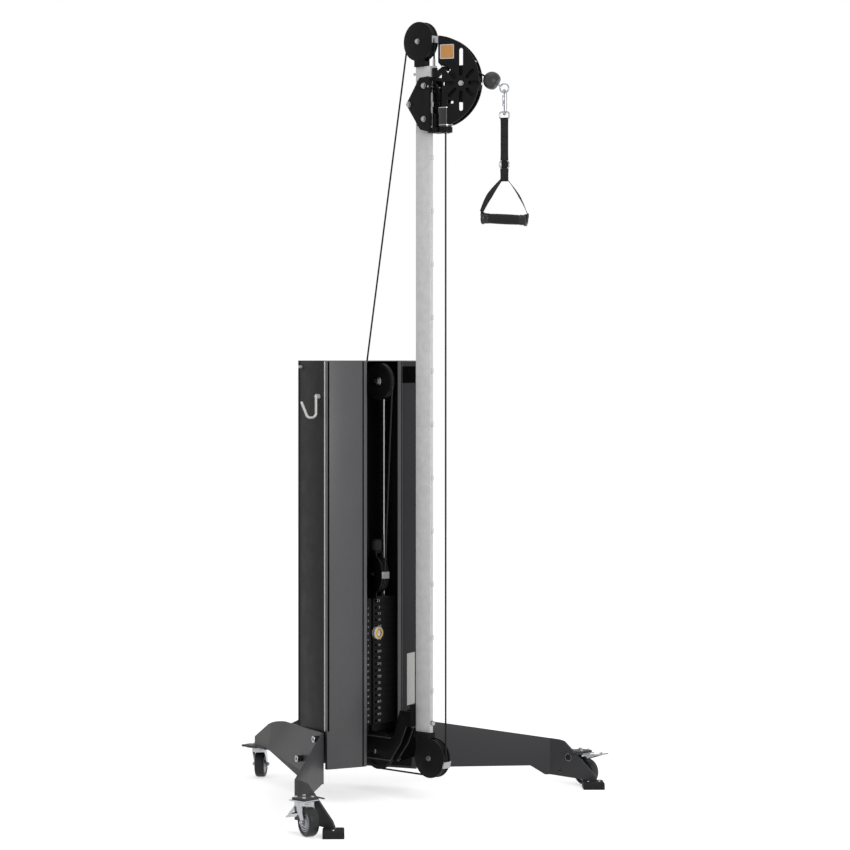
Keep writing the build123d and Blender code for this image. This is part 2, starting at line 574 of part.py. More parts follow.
def strap():
    u = ring_place()[0]
    bar = hook_levels()[1] + HOOK_WIRE + HOOK_GAP + DRING_WIRE
    low_bar = bar - DRING_TALL
    rings = [loop(HEAD, u, low_bar, bar, DRING_HALF, 6, DRING_WIRE)]
    rings.append(HEAD * Pos(u, ORING_Z) * Torus(ORING_R, ORING_WIRE))
    parts["strap_rings"] = group(rings)
    half, thick = WEB_WIDTH / 2, WEB_THICK / 2
    bore = DRING_WIRE + 0.05
    side = HEAD * Pos(u, 0, 0)
    ring_bore = ORING_WIRE + 1.6
    high_ring, low_ring = ORING_Z + ORING_R, ORING_Z - ORING_R
    web = side * Pos(0, (low_bar + high_ring) / 2) * Box(WEB_WIDTH, low_bar - high_ring, WEB_THICK)
    web += side * Pos(0, low_bar) * Rot(0, 90, 0) * Cylinder(bore + WEB_THICK, 16)
    web += side * Pos(0, high_ring) * Rot(0, 90, 0) * Cylinder(ring_bore + thick, 12)
    web += side * Pos(0, low_ring) * Rot(0, 90, 0) * Cylinder(ring_bore + thick, 12)
    web += side * Pos(0, (low_ring + LOOP_LOW) / 2) * Box(24, low_ring - LOOP_LOW, 5)
    web -= side * Pos(0, low_bar) * Rot(0, 90, 0) * Cylinder(bore, WEB_WIDTH)
    for height in (high_ring, low_ring):
        web -= side * Pos(0, height) * Rot(0, 90, 0) * Cylinder(ring_bore, WEB_WIDTH + 2)
    tilt = math.radians(GRIP_TILT)
    reach = GRIP_LONG / 2 + GRIP_REACH
    ends = [(s * reach * math.cos(tilt), GRIP_Z + s * reach * math.sin(tilt)) for s in (-1, 1)]
    arms = strip([(-5, LOOP_LOW + 2), ends[0], ends[1], (5, LOOP_LOW + 2)], WEB_THICK)
    web += plate(side, arms, -9, 9)
    parts["strap"] = web
    place = side * Pos(0, GRIP_Z) * Rot(0, 0, GRIP_TILT) * Rot(0, 90, 0)
    grip = Cylinder(GRIP_R, GRIP_LONG - 2 * CAP_LONG)
    for end in (-1, 1):
        grip += Pos(0, 0, end * (GRIP_LONG - CAP_LONG) / 2) * Cylinder(CAP_R, CAP_LONG)
    parts["grip"] = place * (grip - Cylinder(GRIP_BORE, GRIP_LONG))


# ---------------------------------------------------------------- weight stack
def weight(low, tall):
    """One plate of the stack, with its rod holes, stem hole, pin hole and cable slot."""
    body = block(-PLATE_HALF, PLATE_HALF, STACK_FRONT, STACK_BACK, low, low + tall)
    body = chamfer(body.edges(), PLATE_CHAMFER)
    for x, radius in ((-ROD_X, ROD_R), (ROD_X, ROD_R), (STEM_X, STEM_R)):
        body -= disc(Plane.XY, x, STACK_MID, radius + 2 * RUNNING, low - 1, low + tall + 1)
    body -= block(-CABLE_SLOT, CABLE_SLOT, STACK_FRONT - 1, STACK_FRONT + SLOT_DEEP, low - 1, low + tall + 1)
    middle = low + tall / 2
    return body - rod((STEM_X, STACK_FRONT - 1, middle), (STEM_X, STACK_MID, middle), PIN_BORE)


def stack():
    plates = [weight(STACK_Z + i * PLATE_TALL, PLATE_TALL) for i in range(PLATE_COUNT)]
    plates.append(weight(STACK_TOP, TOP_PLATE_TALL))
    parts["resting_plates"] = group(plates[:REST_COUNT])
    parts["lifted_plates"] = group(plates[REST_COUNT:])
    stem = disc(Plane.XY, STEM_X, STACK_MID, STEM_R, STACK_Z + 6, STACK_CAP)
    stem += disc(Plane.XY, STEM_X, STACK_MID, STEM_R + 8, STACK_CAP, STACK_CAP + 8)
    for i in range(PLATE_COUNT):
        z = STACK_Z + (i + 0.5) * PLATE_TALL
        stem -= rod((STEM_X, STACK_MID - STEM_R - 1, z), (STEM_X, STACK_MID + STEM_R + 1, z), PIN_BORE)
    parts["selector_stem"] = stem
    pin = rod((STEM_X, STACK_FRONT - 0.3, PIN_Z), (STEM_X, STACK_MID + STEM_R - 1, PIN_Z), PIN_R)
    pin += rod((STEM_X, STACK_FRONT - 15, PIN_Z), (STEM_X, STACK_FRONT - 0.3, PIN_Z), 19)
    parts["selector_pin"] = pin
    rods = [disc(Plane.XY, x, STACK_MID, ROD_R, STACK_Z, BEAM_LOW) for x in (-ROD_X, ROD_X)]
    parts["guide_rods"] = group(rods)


def yoke():
    """The bracket that hangs the top plate from the floating pulley."""
    top = STACK_CAP
    inner, outer = PULLEY_HALF + 1, PULLEY_HALF + 5
    frame = block(8, 34, STACK_FRONT, STACK_MID - STEM_R - 8, top, top + 8)
    for low, high in ((-outer, -inner), (inner, outer)):
        frame += plate(FLOAT, [(-21, top + 4), (21, top + 4), (21, FLOAT_Z + 62), (14, FLOAT_Z + 70),
                               (-14, FLOAT_Z + 70), (-21, FLOAT_Z + 62)], low, high)
    frame += plate(FLOAT, [(-21, top), (21, top), (21, top + 8), (-21, top + 8)], -outer, outer)
    frame += plate(FLOAT, [(-14, FLOAT_Z + 62), (14, FLOAT_Z + 62), (14, FLOAT_Z + 70), (-14, FLOAT_Z + 70)],
                   -outer, outer)
    frame += disc(FLOAT, 0, FLOAT_Z, AXLE_R, -outer - 6, outer + 6)
    frame += disc(Plane.XY, FLOAT_X, FLOAT_Y, 15, FLOAT_Z + 70, FLOAT_Z + 103)
    parts["stack_yoke"] = frame


# ---------------------------------------------------------------- base
def leg_point(s, w):
    """A plan point beside the right leg's rear section: s from its corner, w outward."""
    place = upright(LEG_CORNER, LEG_REAR)
    spot = place.from_local_coords(Vector(s, 0, w))
    return spot.X, spot.Y


def rear_edge_x(y, w):
    """Distance from the middle to the right leg's rear section, offset w outward, at depth y."""
    near, far = leg_point(0, w), leg_point(100, w)
    return near[0] + (y - near[1]) * (far[0] - near[0]) / (far[1] - near[1])


def legs():
    half = LEG_THICK / 2
    rear = upright(LEG_CORNER, LEG_REAR)
    long = math.dist(LEG_CORNER, LEG_REAR)
    end_low = FORK_TOP + MOUNT_TALL + TAB_TALL
    shoulder = [(share * long, LEG_TOP - drop) for share, drop in LEG_SHOULDER]
    leg = plate(rear, [(0, LEG_LOW), (0.35 * long, LEG_LOW), (0.77 * long, end_low), (long, end_low),
                       (long, end_low + LEG_END_TALL)] + shoulder + [(0, LEG_TOP)], -half, half)
    side = upright(LEG_CORNER, LEG_BEND)
    long = math.dist(LEG_CORNER, LEG_BEND)
    leg += plate(side, [(0, 62), (0.847 * long, 56), (0.958 * long, 27), (long, 27), (long, LEG_MID_TOP),
                        (0, LEG_TOP)], -half, half)
    end = upright(LEG_BEND, LEG_TIP)
    long = math.dist(LEG_BEND, LEG_TIP)
    leg += plate(end, [(0, 27), (long - 15, FOOT[2]), (long, FOOT[2]), (long, 30), (long - 9, 44), (57, 130),
                       (50, 134), (33, 137), (0, LEG_MID_TOP)], -half, half)
    leg += disc(Plane.XY, *LEG_CORNER, half, 62, LEG_TOP)
    leg += disc(Plane.XY, *LEG_BEND, half, 27, LEG_MID_TOP)
    parts["right_leg"], parts["left_leg"] = both(leg)


def base():
    """The welded middle: flange against the column, two side plates, cross member, cleats and stack base."""
    flange_back = RAIL_BACK + FLANGE_THICK
    frame = block(-FLANGE_HALF, FLANGE_HALF, RAIL_BACK, flange_back, FLANGE_LOW, FLANGE_HIGH)
    outline = [(flange_back, FLANGE_LOW), (flange_back, SPINE_TOP), (85, SPINE_TOP), (110, CROSS_HIGH),
               (CROSS_FRONT, CROSS_HIGH), (CROSS_FRONT, CROSS_LOW), (130, CROSS_LOW), (85, 170),
               (60, FLANGE_LOW)]
    for low, high in ((-SPINE_OUT, -SPINE_IN), (SPINE_IN, SPINE_OUT)):
        frame += plate(SIDE, outline, low, high) - disc(SIDE, TURN_Y, LOW_Z, AXLE_R, low, high)
    inner = -LEG_THICK / 2 - CLEAT
    ends = [rear_edge_x(y, inner) for y in (CROSS_FRONT, CROSS_BACK)]
    cross = [(-ends[0], CROSS_FRONT), (ends[0], CROSS_FRONT), (ends[1], CROSS_BACK), (-ends[1], CROSS_BACK)]
    tube = plate(Plane.XY, cross, CROSS_LOW, CROSS_HIGH)
    wall = CROSS_WALL
    frame += tube - block(-2 * ends[0], 2 * ends[0], CROSS_FRONT + wall, CROSS_BACK - wall, CROSS_LOW + wall,
                          CROSS_HIGH - wall)
    near, far = CLEAT_SPAN
    low, high = LEG_LOW + CLEAT_IN, LEG_TOP - CLEAT_IN
    cleat = plate(upright(LEG_CORNER, LEG_REAR), [(near, low), (far, low), (far, high), (near, high)], inner,
                  -LEG_THICK / 2)
    for piece in both(cleat):
        frame += piece
    front, turn = STACK_FRONT + 7, STACK_FRONT + 22
    shelf = [(SHELF_HALF, front), (side_inner_x(turn), turn), (side_inner_x(STACK_BACK), STACK_BACK)]
    shelf = plate(Plane.XY, shelf + [(-x, y) for x, y in shelf[::-1]], CROSS_HIGH, STACK_Z)
    frame += shelf - block(-6, 6, STACK_FRONT - 18, STACK_FRONT + SLOT_DEEP, CROSS_HIGH, STACK_Z)
    for piece in both(front_tab(STACK_FRONT + 8, CROSS_HIGH + 8, STACK_Z)):
        frame += piece
    parts["base_frame"] = frame


def side_inner_x(y):
    """Inner face of the right side panel at depth y."""
    (x0, y0), (x1, y1) = SIDE_PATH
    run = math.dist(*SIDE_PATH)
    return x0 + (y - y0) * (x1 - x0) / (y1 - y0) - SHEET / 2 * run / abs(y1 - y0)


def fasteners():
    bolts = []
    rear = upright(LEG_CORNER, LEG_REAR)
    half = LEG_THICK / 2
    for s, z in ((20, 188), (143, 114)):
        bolt = disc(rear, s, z, 9, half, half + 16) + disc(rear, s, z, 9.5, half + 16, half + 18)
        bolts += both(bolt)
    end = upright(LEG_BEND, LEG_TIP)
    for y, z, radius in ((-88, 86, 11.5), (-56, 43, 5)):
        bolts += both(disc(end, LEG_BEND[1] - y, z, radius, -half - 5, -half))
        bolts += both(disc(end, LEG_BEND[1] - y, z, radius, half, half + 3))
    bolts.append(rod((0, RAIL_FRONT - 8, BOLT_LOW), (0, RAIL_FRONT, BOLT_LOW), 7))
    face = RAIL_BACK + FLANGE_THICK
    bolts += [rod((0, face, z), (0, face + 10, z), 7) for z in (BOLT_LOW, BOLT_HIGH)]
    bolts.append(rod((0, RAIL_BACK, RAIL_HIGH - 20), (0, RAIL_BACK + 12, RAIL_HIGH - 20), 4))
    parts["base_fasteners"] = group(bolts)


def feet():
    pad = Pos(FOOT_AT[0], FOOT_AT[1], FOOT[2] / 2) * Rot(0, 0, 45) * Box(*FOOT)
    pad = chamfer(pad.edges().group_by(Axis.Z)[-1], 3)
    parts["foot_pads"] = group(both(pad))


# ---------------------------------------------------------------- casters
def brackets():
    low = FORK_TOP + MOUNT_TALL
    rear = block(-REAR_TAB_HALF, REAR_TAB_HALF, REAR_CASTER_Y - REAR_TAB_PAST, REAR_CASTER_Y + REAR_TAB_HALF,
                 low, low + TAB_TALL)
    (x, y), edge = CASTER_AT, CASTER_AT[0] + TAB_PAST
    tab = [(rear_x(y - TAB_HALF), y - TAB_HALF), (edge, y - TAB_HALF), (edge, y + TAB_HALF),
           (rear_x(y + TAB_HALF), y + TAB_HALF)]
    tabs = both(plate(Plane.XY, tab, low + FRONT_LIFT, low + FRONT_LIFT + TAB_TALL))
    parts["caster_brackets"] = group([rear] + tabs)
    mount = Pos(0, 0, low - MOUNT_TALL / 2) * Box(2 * MOUNT_HALF, 2 * MOUNT_HALF, MOUNT_TALL)
    parts["caster_plates"] = group([Pos(0, REAR_CASTER_Y, 0) * mount] + both(Pos(x, y, FRONT_LIFT) * mount))


def rear_x(y):
    """Outer face of the right leg's end section at depth y."""
    run = math.dist(LEG_BEND, LEG_TIP)
    slope = (LEG_TIP[0] - LEG_BEND[0]) / (LEG_TIP[1] - LEG_BEND[1])
    return LEG_BEND[0] + (y - LEG_BEND[1]) * slope + LEG_THICK / 2 * run / abs(LEG_TIP[1] - LEG_BEND[1])


def caster(name, at, lift, yaw, trail, pedal):
    """A swivel caster: fork, wheel and, where it has one, a brake pedal (pad centre and pad slope)."""
    place = Pos(at[0], at[1], lift) * Rot(0, 0, yaw)
    level = Plane(origin=(0, 0, 0), x_dir=(1, 0, 0), z_dir=(0, -1, 0))
    fork = Pos(0, 0, FORK_TOP - 6) * Cylinder(21, 12)
    outline = [(-20, 84), (-20, 92), (20, 92), (20, 84), (trail + 10, WHEEL_R + 4), (trail + 6, WHEEL_R - 9),
               (trail - 6, WHEEL_R - 9), (trail - 10, WHEEL_R + 4)]
    fork += block(-20, 20, -20, 20, 83, 92)
    for low, high in ((-20, -17.5), (17.5, 20)):
        fork += plate(level, outline, low, high)
    fork += disc(level, trail, WHEEL_R, 4, -23, 23)
    wheel = level * Pos(trail, WHEEL_R, 0) * Cylinder(WHEEL_R, 2 * WHEEL_HALF)
    wheel = fillet(wheel.edges().filter_by(GeomType.CIRCLE), 5)
    wheel += disc(level, trail, WHEEL_R, 12, -16.8, 16.8)
    wheel -= disc(level, trail, WHEEL_R, 4 + RUNNING, -20, 20)
    if pedal:
        (px, pz), (cx, cz), slope, pad_long, pad_in, pedal_arms = pedal
        for low in (-24, 17.5):
            fork += disc(level, px, pz, 3, low, low + 6.5)
        arm_long = math.dist((px, pz), (cx, cz))
        turn = math.degrees(math.atan2(cz - pz, cx - px))
        lever = level * Pos(cx, cz, (pad_in - 23.2) / 2) * Rot(0, 0, slope) * Box(pad_long, 4, pad_in + 23.2)
        for low in pedal_arms:
            arm = level * Pos(px, pz, low + 1.25) * Rot(0, 0, turn) * Pos(arm_long / 2, 0, 0)
            lever += arm * Box(arm_long, 9, 2.5)
            lever += disc(level, px, pz, 5.5, low, low + 2.5)
            lever -= disc(level, px, pz, 3 + RUNNING, low, low + 2.5)
        parts[name + "_pedal"] = place * lever
    parts[name + "_fork"] = place * fork
    parts[name + "_wheel"] = place * wheel


# ---------------------------------------------------------------- shroud
def shroud():
    front = sheet(FRONT_PATH, SHEET, SHROUD_LOW, SHROUD_HIGH)
    parts["shroud_front_panels"] = group(both(front))
    parts["shroud_side_panels"] = group(both(sheet(SIDE_PATH, SHEET, SIDE_LOW, SHROUD_HIGH)))
    (x0, y0), (x1, y1) = SIDE_PATH
    back = y1 + SHEET / 2 * abs(x1 - x0) / math.dist(*SIDE_PATH)
    half = SIDE_PATH[1][0] + SHEET
    parts["shroud_rear_panel"] = block(-half, half, back, back + SHEET, SIDE_LOW, SHROUD_HIGH)
    beam = [(-side_inner_x(BEAM_FRONT), BEAM_FRONT), (side_inner_x(BEAM_FRONT), BEAM_FRONT),
            (side_inner_x(BEAM_BACK), BEAM_BACK), (-side_inner_x(BEAM_BACK), BEAM_BACK)]
    beam = plate(Plane.XY, beam, BEAM_LOW, BEAM_HIGH)
    half = PULLEY_HALF + 1.5
    beam -= block(GUIDE_X - half, GUIDE_X + half, BEAM_FRONT - 1, GUIDE_Y + RIM_R + 2, BEAM_LOW, BEAM_HIGH)
    hanger = block(8, 16, TURN_Y - 14, BEAM_FRONT + 1, UPPER_Z - HANGER_R, BEAM_HIGH)
    hanger -= disc(SIDE, TURN_Y, UPPER_Z, AXLE_R, 8, GUIDE_X / 2)
    hanger -= disc(SIDE, GUIDE_Y, UPPER_Z, AXLE_R, GUIDE_X / 2, 16)
    arms = both(front_tab(BEAM_FRONT + 1, BEAM_LOW + 6, BEAM_LOW + 20))
    parts["top_crossmember"] = beam + hanger + arms[0] + arms[1]
    edge = y1 - SHEET
    top = [(80, front_inner_y(80)), (186, front_inner_y(186)), (side_inner_x(231), 231),
           (side_inner_x(edge), edge)]
    top = plate(Plane.XY, top + [(-x, y) for x, y in top[::-1]], SHROUD_HIGH - SHEET, SHROUD_HIGH)
    parts["shroud_cap"] = top - block(12, 34, 248, 276, SHROUD_HIGH - SHEET, SHROUD_HIGH)


def front_inner_y(x):
    """Inner face of the right front panel at distance x from the middle."""
    (x0, y0), (x1, y1) = FRONT_PATH[1:3]
    return y0 + (x - x0) * (y1 - y0) / (x1 - x0) + SHEET / 2 * math.dist(*FRONT_PATH[1:3]) / (x1 - x0)


def front_tab(back, low, high):
    """A bar that reaches forward to the front panel's inner face."""
    near, far = TAB_X
    bar = [(near, front_inner_y(near)), (far, front_inner_y(far)), (far, back), (near, back)]
    return plate(Plane.XY, bar, low, high)


def hook():
    """The rod hook for handles on the left side panel."""
    face = upright(SIDE_PATH[0], SIDE_PATH[1])
    foot = SHEET / 2
    head, low, tip, stop = [SHROUD_HIGH - drop for drop in HANG_DROPS]
    near, far = foot + HANG_BOSS, foot + HANG_REACH
    bend = (near + far) / 2 + HANG_LEAN
    path = FilletPolyline((HANG_S, head, near), (HANG_S, low, near), (HANG_S, low, bend), (HANG_S, tip, far),
                          radius=HANG_BEND)
    bar = sweep(Plane(origin=path @ 0, z_dir=path % 0) * Circle(HANG_R), path=path)
    bar += Pos(HANG_S, head, near) * Sphere(HANG_R + 1.5) + Pos(HANG_S, tip, far) * Sphere(HANG_R)
    bar += Pos(HANG_S, head, foot + HANG_BOSS / 2) * Cylinder(HANG_BOSS_R, HANG_BOSS)
    bar += Pos(STOP_S, stop, foot + HANG_BOSS / 2) * Cylinder(HANG_R, HANG_BOSS)
    parts["accessory_hook"] = mirror(face * bar, Plane.YZ)


column()
column_necks()
pulley_pins()
pulleys()
cables()
carriage()
head()
head_fittings()
cable_end()
snap()
strap()
stack()
yoke()
legs()
base()
fasteners()
feet()
brackets()
caster("left_caster", (-CASTER_AT[0], CASTER_AT[1]), FRONT_LIFT, 73.2, -25,
       ((18, 72), (50, 49), -25, 36, 8, (-23.2,)))
caster("right_caster", CASTER_AT, FRONT_LIFT, -90, 20, ((14, 80), (67, 97), 8, 46, 23.2, (-23.2, 20.7)))
caster("rear_caster", (0, REAR_CASTER_Y), 0, 36, 23, None)
shroud()
hook()

os.makedirs("parts", exist_ok=True)
whole = group(list(parts.values())).bounding_box()
shift = Pos(-(whole.min.X + whole.max.X) / 2, -(whole.min.Y + whole.max.Y) / 2, -whole.min.Z)
print("shift", shift.position)
for name, solid in parts.items():
    export_step(group([shift * s for s in solid.solids()]), f"parts/{name}.step")
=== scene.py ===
import json
import math

import bmesh
import bpy
from bpy.props import FloatProperty, FloatVectorProperty, PointerProperty
from mathutils import Matrix, Vector


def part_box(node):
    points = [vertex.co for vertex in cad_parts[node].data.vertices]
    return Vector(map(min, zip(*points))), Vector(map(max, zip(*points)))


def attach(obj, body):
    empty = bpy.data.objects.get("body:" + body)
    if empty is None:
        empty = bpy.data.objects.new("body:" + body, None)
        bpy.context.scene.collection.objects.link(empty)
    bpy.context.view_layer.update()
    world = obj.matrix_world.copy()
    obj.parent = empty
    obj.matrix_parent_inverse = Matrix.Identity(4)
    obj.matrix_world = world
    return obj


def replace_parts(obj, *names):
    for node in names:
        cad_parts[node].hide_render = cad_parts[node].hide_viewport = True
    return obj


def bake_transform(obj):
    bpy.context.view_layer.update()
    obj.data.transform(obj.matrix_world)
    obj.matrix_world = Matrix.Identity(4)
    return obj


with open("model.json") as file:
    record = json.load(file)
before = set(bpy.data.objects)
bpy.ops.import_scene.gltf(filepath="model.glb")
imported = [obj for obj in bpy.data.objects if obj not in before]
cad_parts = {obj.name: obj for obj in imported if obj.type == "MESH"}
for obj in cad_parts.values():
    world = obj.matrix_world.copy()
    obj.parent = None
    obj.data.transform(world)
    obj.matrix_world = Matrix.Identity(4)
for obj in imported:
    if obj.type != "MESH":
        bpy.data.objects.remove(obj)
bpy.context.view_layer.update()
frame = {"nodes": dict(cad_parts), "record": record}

bl_info = {
    "name": "Cable crossover column",
    "version": (1, 0, 0),
    "blender": (4, 5, 0),
    "location": "View3D > Sidebar > Crossover",
    "description": "Dresses a wheeled cable column with its finishes, cables, handle, figures and fittings",
    "category": "Object",
}

# Places of the machine, in millimetres from the point on the floor under the column bar
RAIL_FRONT = -25.0
TOP_PULLEY = (18.0, 2235.0)
LOW_PULLEY = (-28.0, 139.0)
TURN_PULLEY = (188.0, 1238.0)
GUIDE_PULLEY = (220.0, 1238.0)
GUIDE_SIDE = 24.0
WRAP = 53.0
CABLE = 2.6
FLOAT_AT = (7.5, 208.0, 663.0)
FLOAT_TURN = 18.1
HEAD_AT = (0.0, -81.0)
HEAD_TURN = 26.0
HEAD_PULLEY = (52.0, 2103.0)
HEAD_WRAP = 52.0
DISC_AT, DISC_RADIUS = (-28.0, 2110.0), 131.0
EXIT_ANGLE = 58.0
ARM_LOW = 1963.0
TERMINAL_TOP = 2180.0
BALL_REACH = 71.0
BALL_RADIUS = 26.0
BALL_FLAT = 18.5
RING_REACH = 115.0
STACK_FRONT = 218.0
STACK_LOW = 213.0
PLATE_TALL = 18.8
PLATE_COUNT = 19
LIFTED_COUNT = 5
STEM_SIDE = 16.0
CASTERS = (("left", (-591.0, -100.0), 1.0, 73.2, -25.0), ("right", (591.0, -100.0), 1.0, -90.0, 20.0),
           ("rear", (0.0, 708.0), 0.0, 36.0, 23.0))
WHEEL_RADIUS = 40.0
FORK_TOP = 94.0
FOOT_AT = (556.0, -178.0)
LEG_CORNER = (200.0, 225.0)
LEG_REAR = (25.0, 700.0)
LEG_BEND = (544.0, -17.0)
LEG_TIP = (560.0, -187.0)
FRONT_PANEL = ((80.0, 176.0), (192.0, 214.0))
SIDE_PANEL = ((188.0, 229.0), (145.0, 380.0))
SHEET = 2.5
PANEL_LOW, PANEL_HIGH, SIDE_LOW = 100.0, 1300.0, 208.5
PANEL_LONG = math.dist(*FRONT_PANEL)
KICK_LONG, KICK_HIGH = 128.0, 212.0
RING_RADIUS, RING_WIRE = 12.75, 2.25
HOOK_WIRE, HOOK_HALF, HOOK_TALL, HOOK_GAP = 4.0, 10.0, 69.0, 0.5
GATE_RISE = 4.0

# From those millimetres to the shared frame's metres
RAIL_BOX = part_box("rail")
ROW = Matrix.Translation(((RAIL_BOX[0].x + RAIL_BOX[1].x) / 2, RAIL_BOX[0].y - RAIL_FRONT / 1000, 0))
ROW = ROW @ Matrix.Diagonal((0.001, 0.001, 0.001, 1))


def paint(red, green, blue):
    """A colour as it looks on screen, from 0 to 255, as the linear value that a shader takes."""
    return tuple(((c / 255 + 0.055) / 1.055) ** 2.4 for c in (red, green, blue))


# ---- what a user may change
class CrossoverSizes(bpy.types.PropertyGroup):
    """Sizes of the fittings that are dressed onto the machine."""

    band_width: FloatProperty(name="Band width", description="Width of the handle's webbing",
                              default=0.0225, min=0.01, max=0.05, unit="LENGTH")
    band_thickness: FloatProperty(name="Band thickness", description="Thickness of one layer of webbing",
                                  default=0.0016, min=0.0005, max=0.003, unit="LENGTH")
    grip_radius: FloatProperty(name="Grip radius", description="Radius of the grip's rubber tube",
                               default=0.0145, min=0.01, max=0.02, unit="LENGTH")
    figure_height: FloatProperty(name="Figure height", description="Height of the plates' figures",
                                 default=0.0092, min=0.005, max=0.018, unit="LENGTH")
    knob_radius: FloatProperty(name="Knob radius", description="Radius of the selector knob",
                               default=0.019, min=0.01, max=0.03, unit="LENGTH")
    bead_radius: FloatProperty(name="Weld bead", description="Radius of the weld beads on the base",
                               default=0.003, min=0.001, max=0.006, unit="LENGTH")
    badge_size: FloatProperty(name="Badge size", description="Side of the blank orange badge on the head",
                              default=0.042, min=0.01, max=0.06, unit="LENGTH")


COLOUR = {"subtype": "COLOR", "size": 3, "min": 0, "max": 1}


class CrossoverColours(bpy.types.PropertyGroup):
    """Colours of the machine's main finishes."""

    bar: FloatVectorProperty(name="Column bar", description="Zinc plating of the column bar",
                             default=paint(226, 227, 226), **COLOUR)
    coat: FloatVectorProperty(name="Head coat", description="Black textured coat of head and carriage",
                              default=paint(21, 21, 22), **COLOUR)
    legs: FloatVectorProperty(name="Leg coat", description="Smooth dark grey coat of the legs",
                              default=paint(66, 66, 68), **COLOUR)
    panels: FloatVectorProperty(name="Front panels", description="Dark grey coat of the shroud's front",
                                default=paint(92, 91, 93), **COLOUR)
    sides: FloatVectorProperty(name="Side panels", description="Black textured coat of the shroud's sides",
                               default=paint(40, 40, 41), **COLOUR)
    plates: FloatVectorProperty(name="Weight plates", description="Black coat of the weight plates",
                                default=paint(32, 32, 33), **COLOUR)
    knob: FloatVectorProperty(name="Knob ring", description="Gold ring of the selector knob",
                              default=paint(214, 168, 72), **COLOUR)
    badge: FloatVectorProperty(name="Badge", description="Blank orange badge on the head",
                               default=paint(203, 148, 88), **COLOUR)


# ---- places
def upright(start, toward):
    """A vertical plane through a plan point and toward another: its axes lie along, up and outward."""
    run = Vector((toward[0] - start[0], toward[1] - start[1], 0)).normalized()
    axes = Matrix((run, Vector((0, 0, 1)), Vector((run.y, -run.x, 0)))).transposed()
    return Matrix.Translation((start[0], start[1], 0)) @ axes.to_4x4()


def at(plane, along, up, out=0.0):
    """The place of a point on a plane, with the plane's axes."""
    return plane @ Matrix.Translation((along, up, out))


SIDE = upright((0, 0), (0, 1))
HEAD_DIR = Vector((math.sin(math.radians(HEAD_TURN)), -math.cos(math.radians(HEAD_TURN)), 0))
HEAD = upright(HEAD_AT, (HEAD_AT[0] + HEAD_DIR.x, HEAD_AT[1] + HEAD_DIR.y))
FLOAT_DIR = (math.sin(math.radians(FLOAT_TURN)), math.cos(math.radians(FLOAT_TURN)))
FLOAT = upright(FLOAT_AT[:2], (FLOAT_AT[0] + FLOAT_DIR[0], FLOAT_AT[1] + FLOAT_DIR[1]))
FACING = Matrix.Rotation(math.radians(90), 4, "X")
MIRROR = Matrix.Diagonal((-1, 1, 1, 1))


def both(place):
    """A place and its mirror image across the place's own plane."""
    return place, place @ Matrix.Diagonal((1, 1, -1, 1))


def pull_point(reach):
    """A point on the straight cable beyond the head pulley, on the head's plane."""
    angle = math.radians(EXIT_ANGLE)
    return (HEAD_WRAP * (1 + math.cos(angle)) + reach * math.sin(angle),
            HEAD_PULLEY[1] + HEAD_WRAP * math.sin(angle) - reach * math.cos(angle))


def station(point, ahead, across):
    """A place on a run: its third axis looks ahead, its first lies across."""
    ahead = Vector(ahead).normalized()
    across = Vector(across)
    across = (across - across.dot(ahead) * ahead).normalized()
    return Matrix.Translation(point) @ Matrix((across, ahead.cross(across), ahead)).transposed().to_4x4()


def route(points, across):
    """Places along a run of points."""
    points = [Vector(p) for p in points]
    before, after = points[:1] + points, points[1:] + points[-1:]
    return [station(point, b - a, across) for a, point, b in zip(before, points, after)]


def arc(centre, radius, start, end, count):
    """Points on an arc in a plane, with angles in degrees."""
    turns = [math.radians(start + (end - start) * i / count) for i in range(count + 1)]
    return [(centre[0] + radius * math.cos(t), centre[1] + radius * math.sin(t)) for t in turns]


# ---- shapes
def add(bm, shape, place):
    """Adds a finished shape to another, in its place."""
    bmesh.ops.transform(shape, matrix=place, verts=shape.verts)
    mesh = bpy.data.meshes.new("shape")
    shape.to_mesh(mesh)
    shape.free()
    bm.from_mesh(mesh)
    bpy.data.meshes.remove(mesh)


def turned(bm, profile, place=Matrix(), steps=48, closed=False):
    """Adds a round shape: a half outline of (radius, height) spun about its axis."""
    shape = bmesh.new()
    verts = [shape.verts.new((r, 0, z)) for r, z in profile]
    ends = verts[1:] + verts[:1] if closed else verts[1:]
    edges = [shape.edges.new(pair) for pair in zip(verts, ends)]
    bmesh.ops.spin(shape, geom=verts + edges, cent=(0, 0, 0), axis=(0, 0, 1), angle=math.tau, steps=steps,
                   use_merge=True)
    bmesh.ops.remove_doubles(shape, verts=shape.verts, dist=1e-4)
    bmesh.ops.recalc_face_normals(shape, faces=shape.faces)
    add(bm, shape, place)


def slab(bm, outline, low, high, place=Matrix(), bevel=0.0):
    """Adds a flat plate with an outline of points, between two heights, with rounded edges."""
    shape = bmesh.new()
    face = shape.faces.new([shape.verts.new((x, y, low)) for x, y in outline])
    made = bmesh.ops.extrude_face_region(shape, geom=[face])["geom"]
    lifted = [v for v in made if isinstance(v, bmesh.types.BMVert)]
    bmesh.ops.translate(shape, vec=(0, 0, high - low), verts=lifted)
    if bevel:
        bmesh.ops.bevel(shape, geom=shape.edges, offset=bevel, offset_type="OFFSET", affect="EDGES",
                        segments=2, profile=0.5, material=-1, clamp_overlap=True)
    bmesh.ops.recalc_face_normals(shape, faces=shape.faces)
    add(bm, shape, place)


def box_outline(width, height, corner=0.0):
    """The outline of a rectangle, with rounded corners."""
    x, y = width / 2 - corner, height / 2 - corner
    if not corner:
        return [(-x, -y), (x, -y), (x, y), (-x, y)]
    corners = ((x, -y, -90), (x, y, 0), (-x, y, 90), (-x, -y, 180))
    return [p for cx, cy, turn in corners for p in arc((cx, cy), corner, turn, turn + 90, 4)]


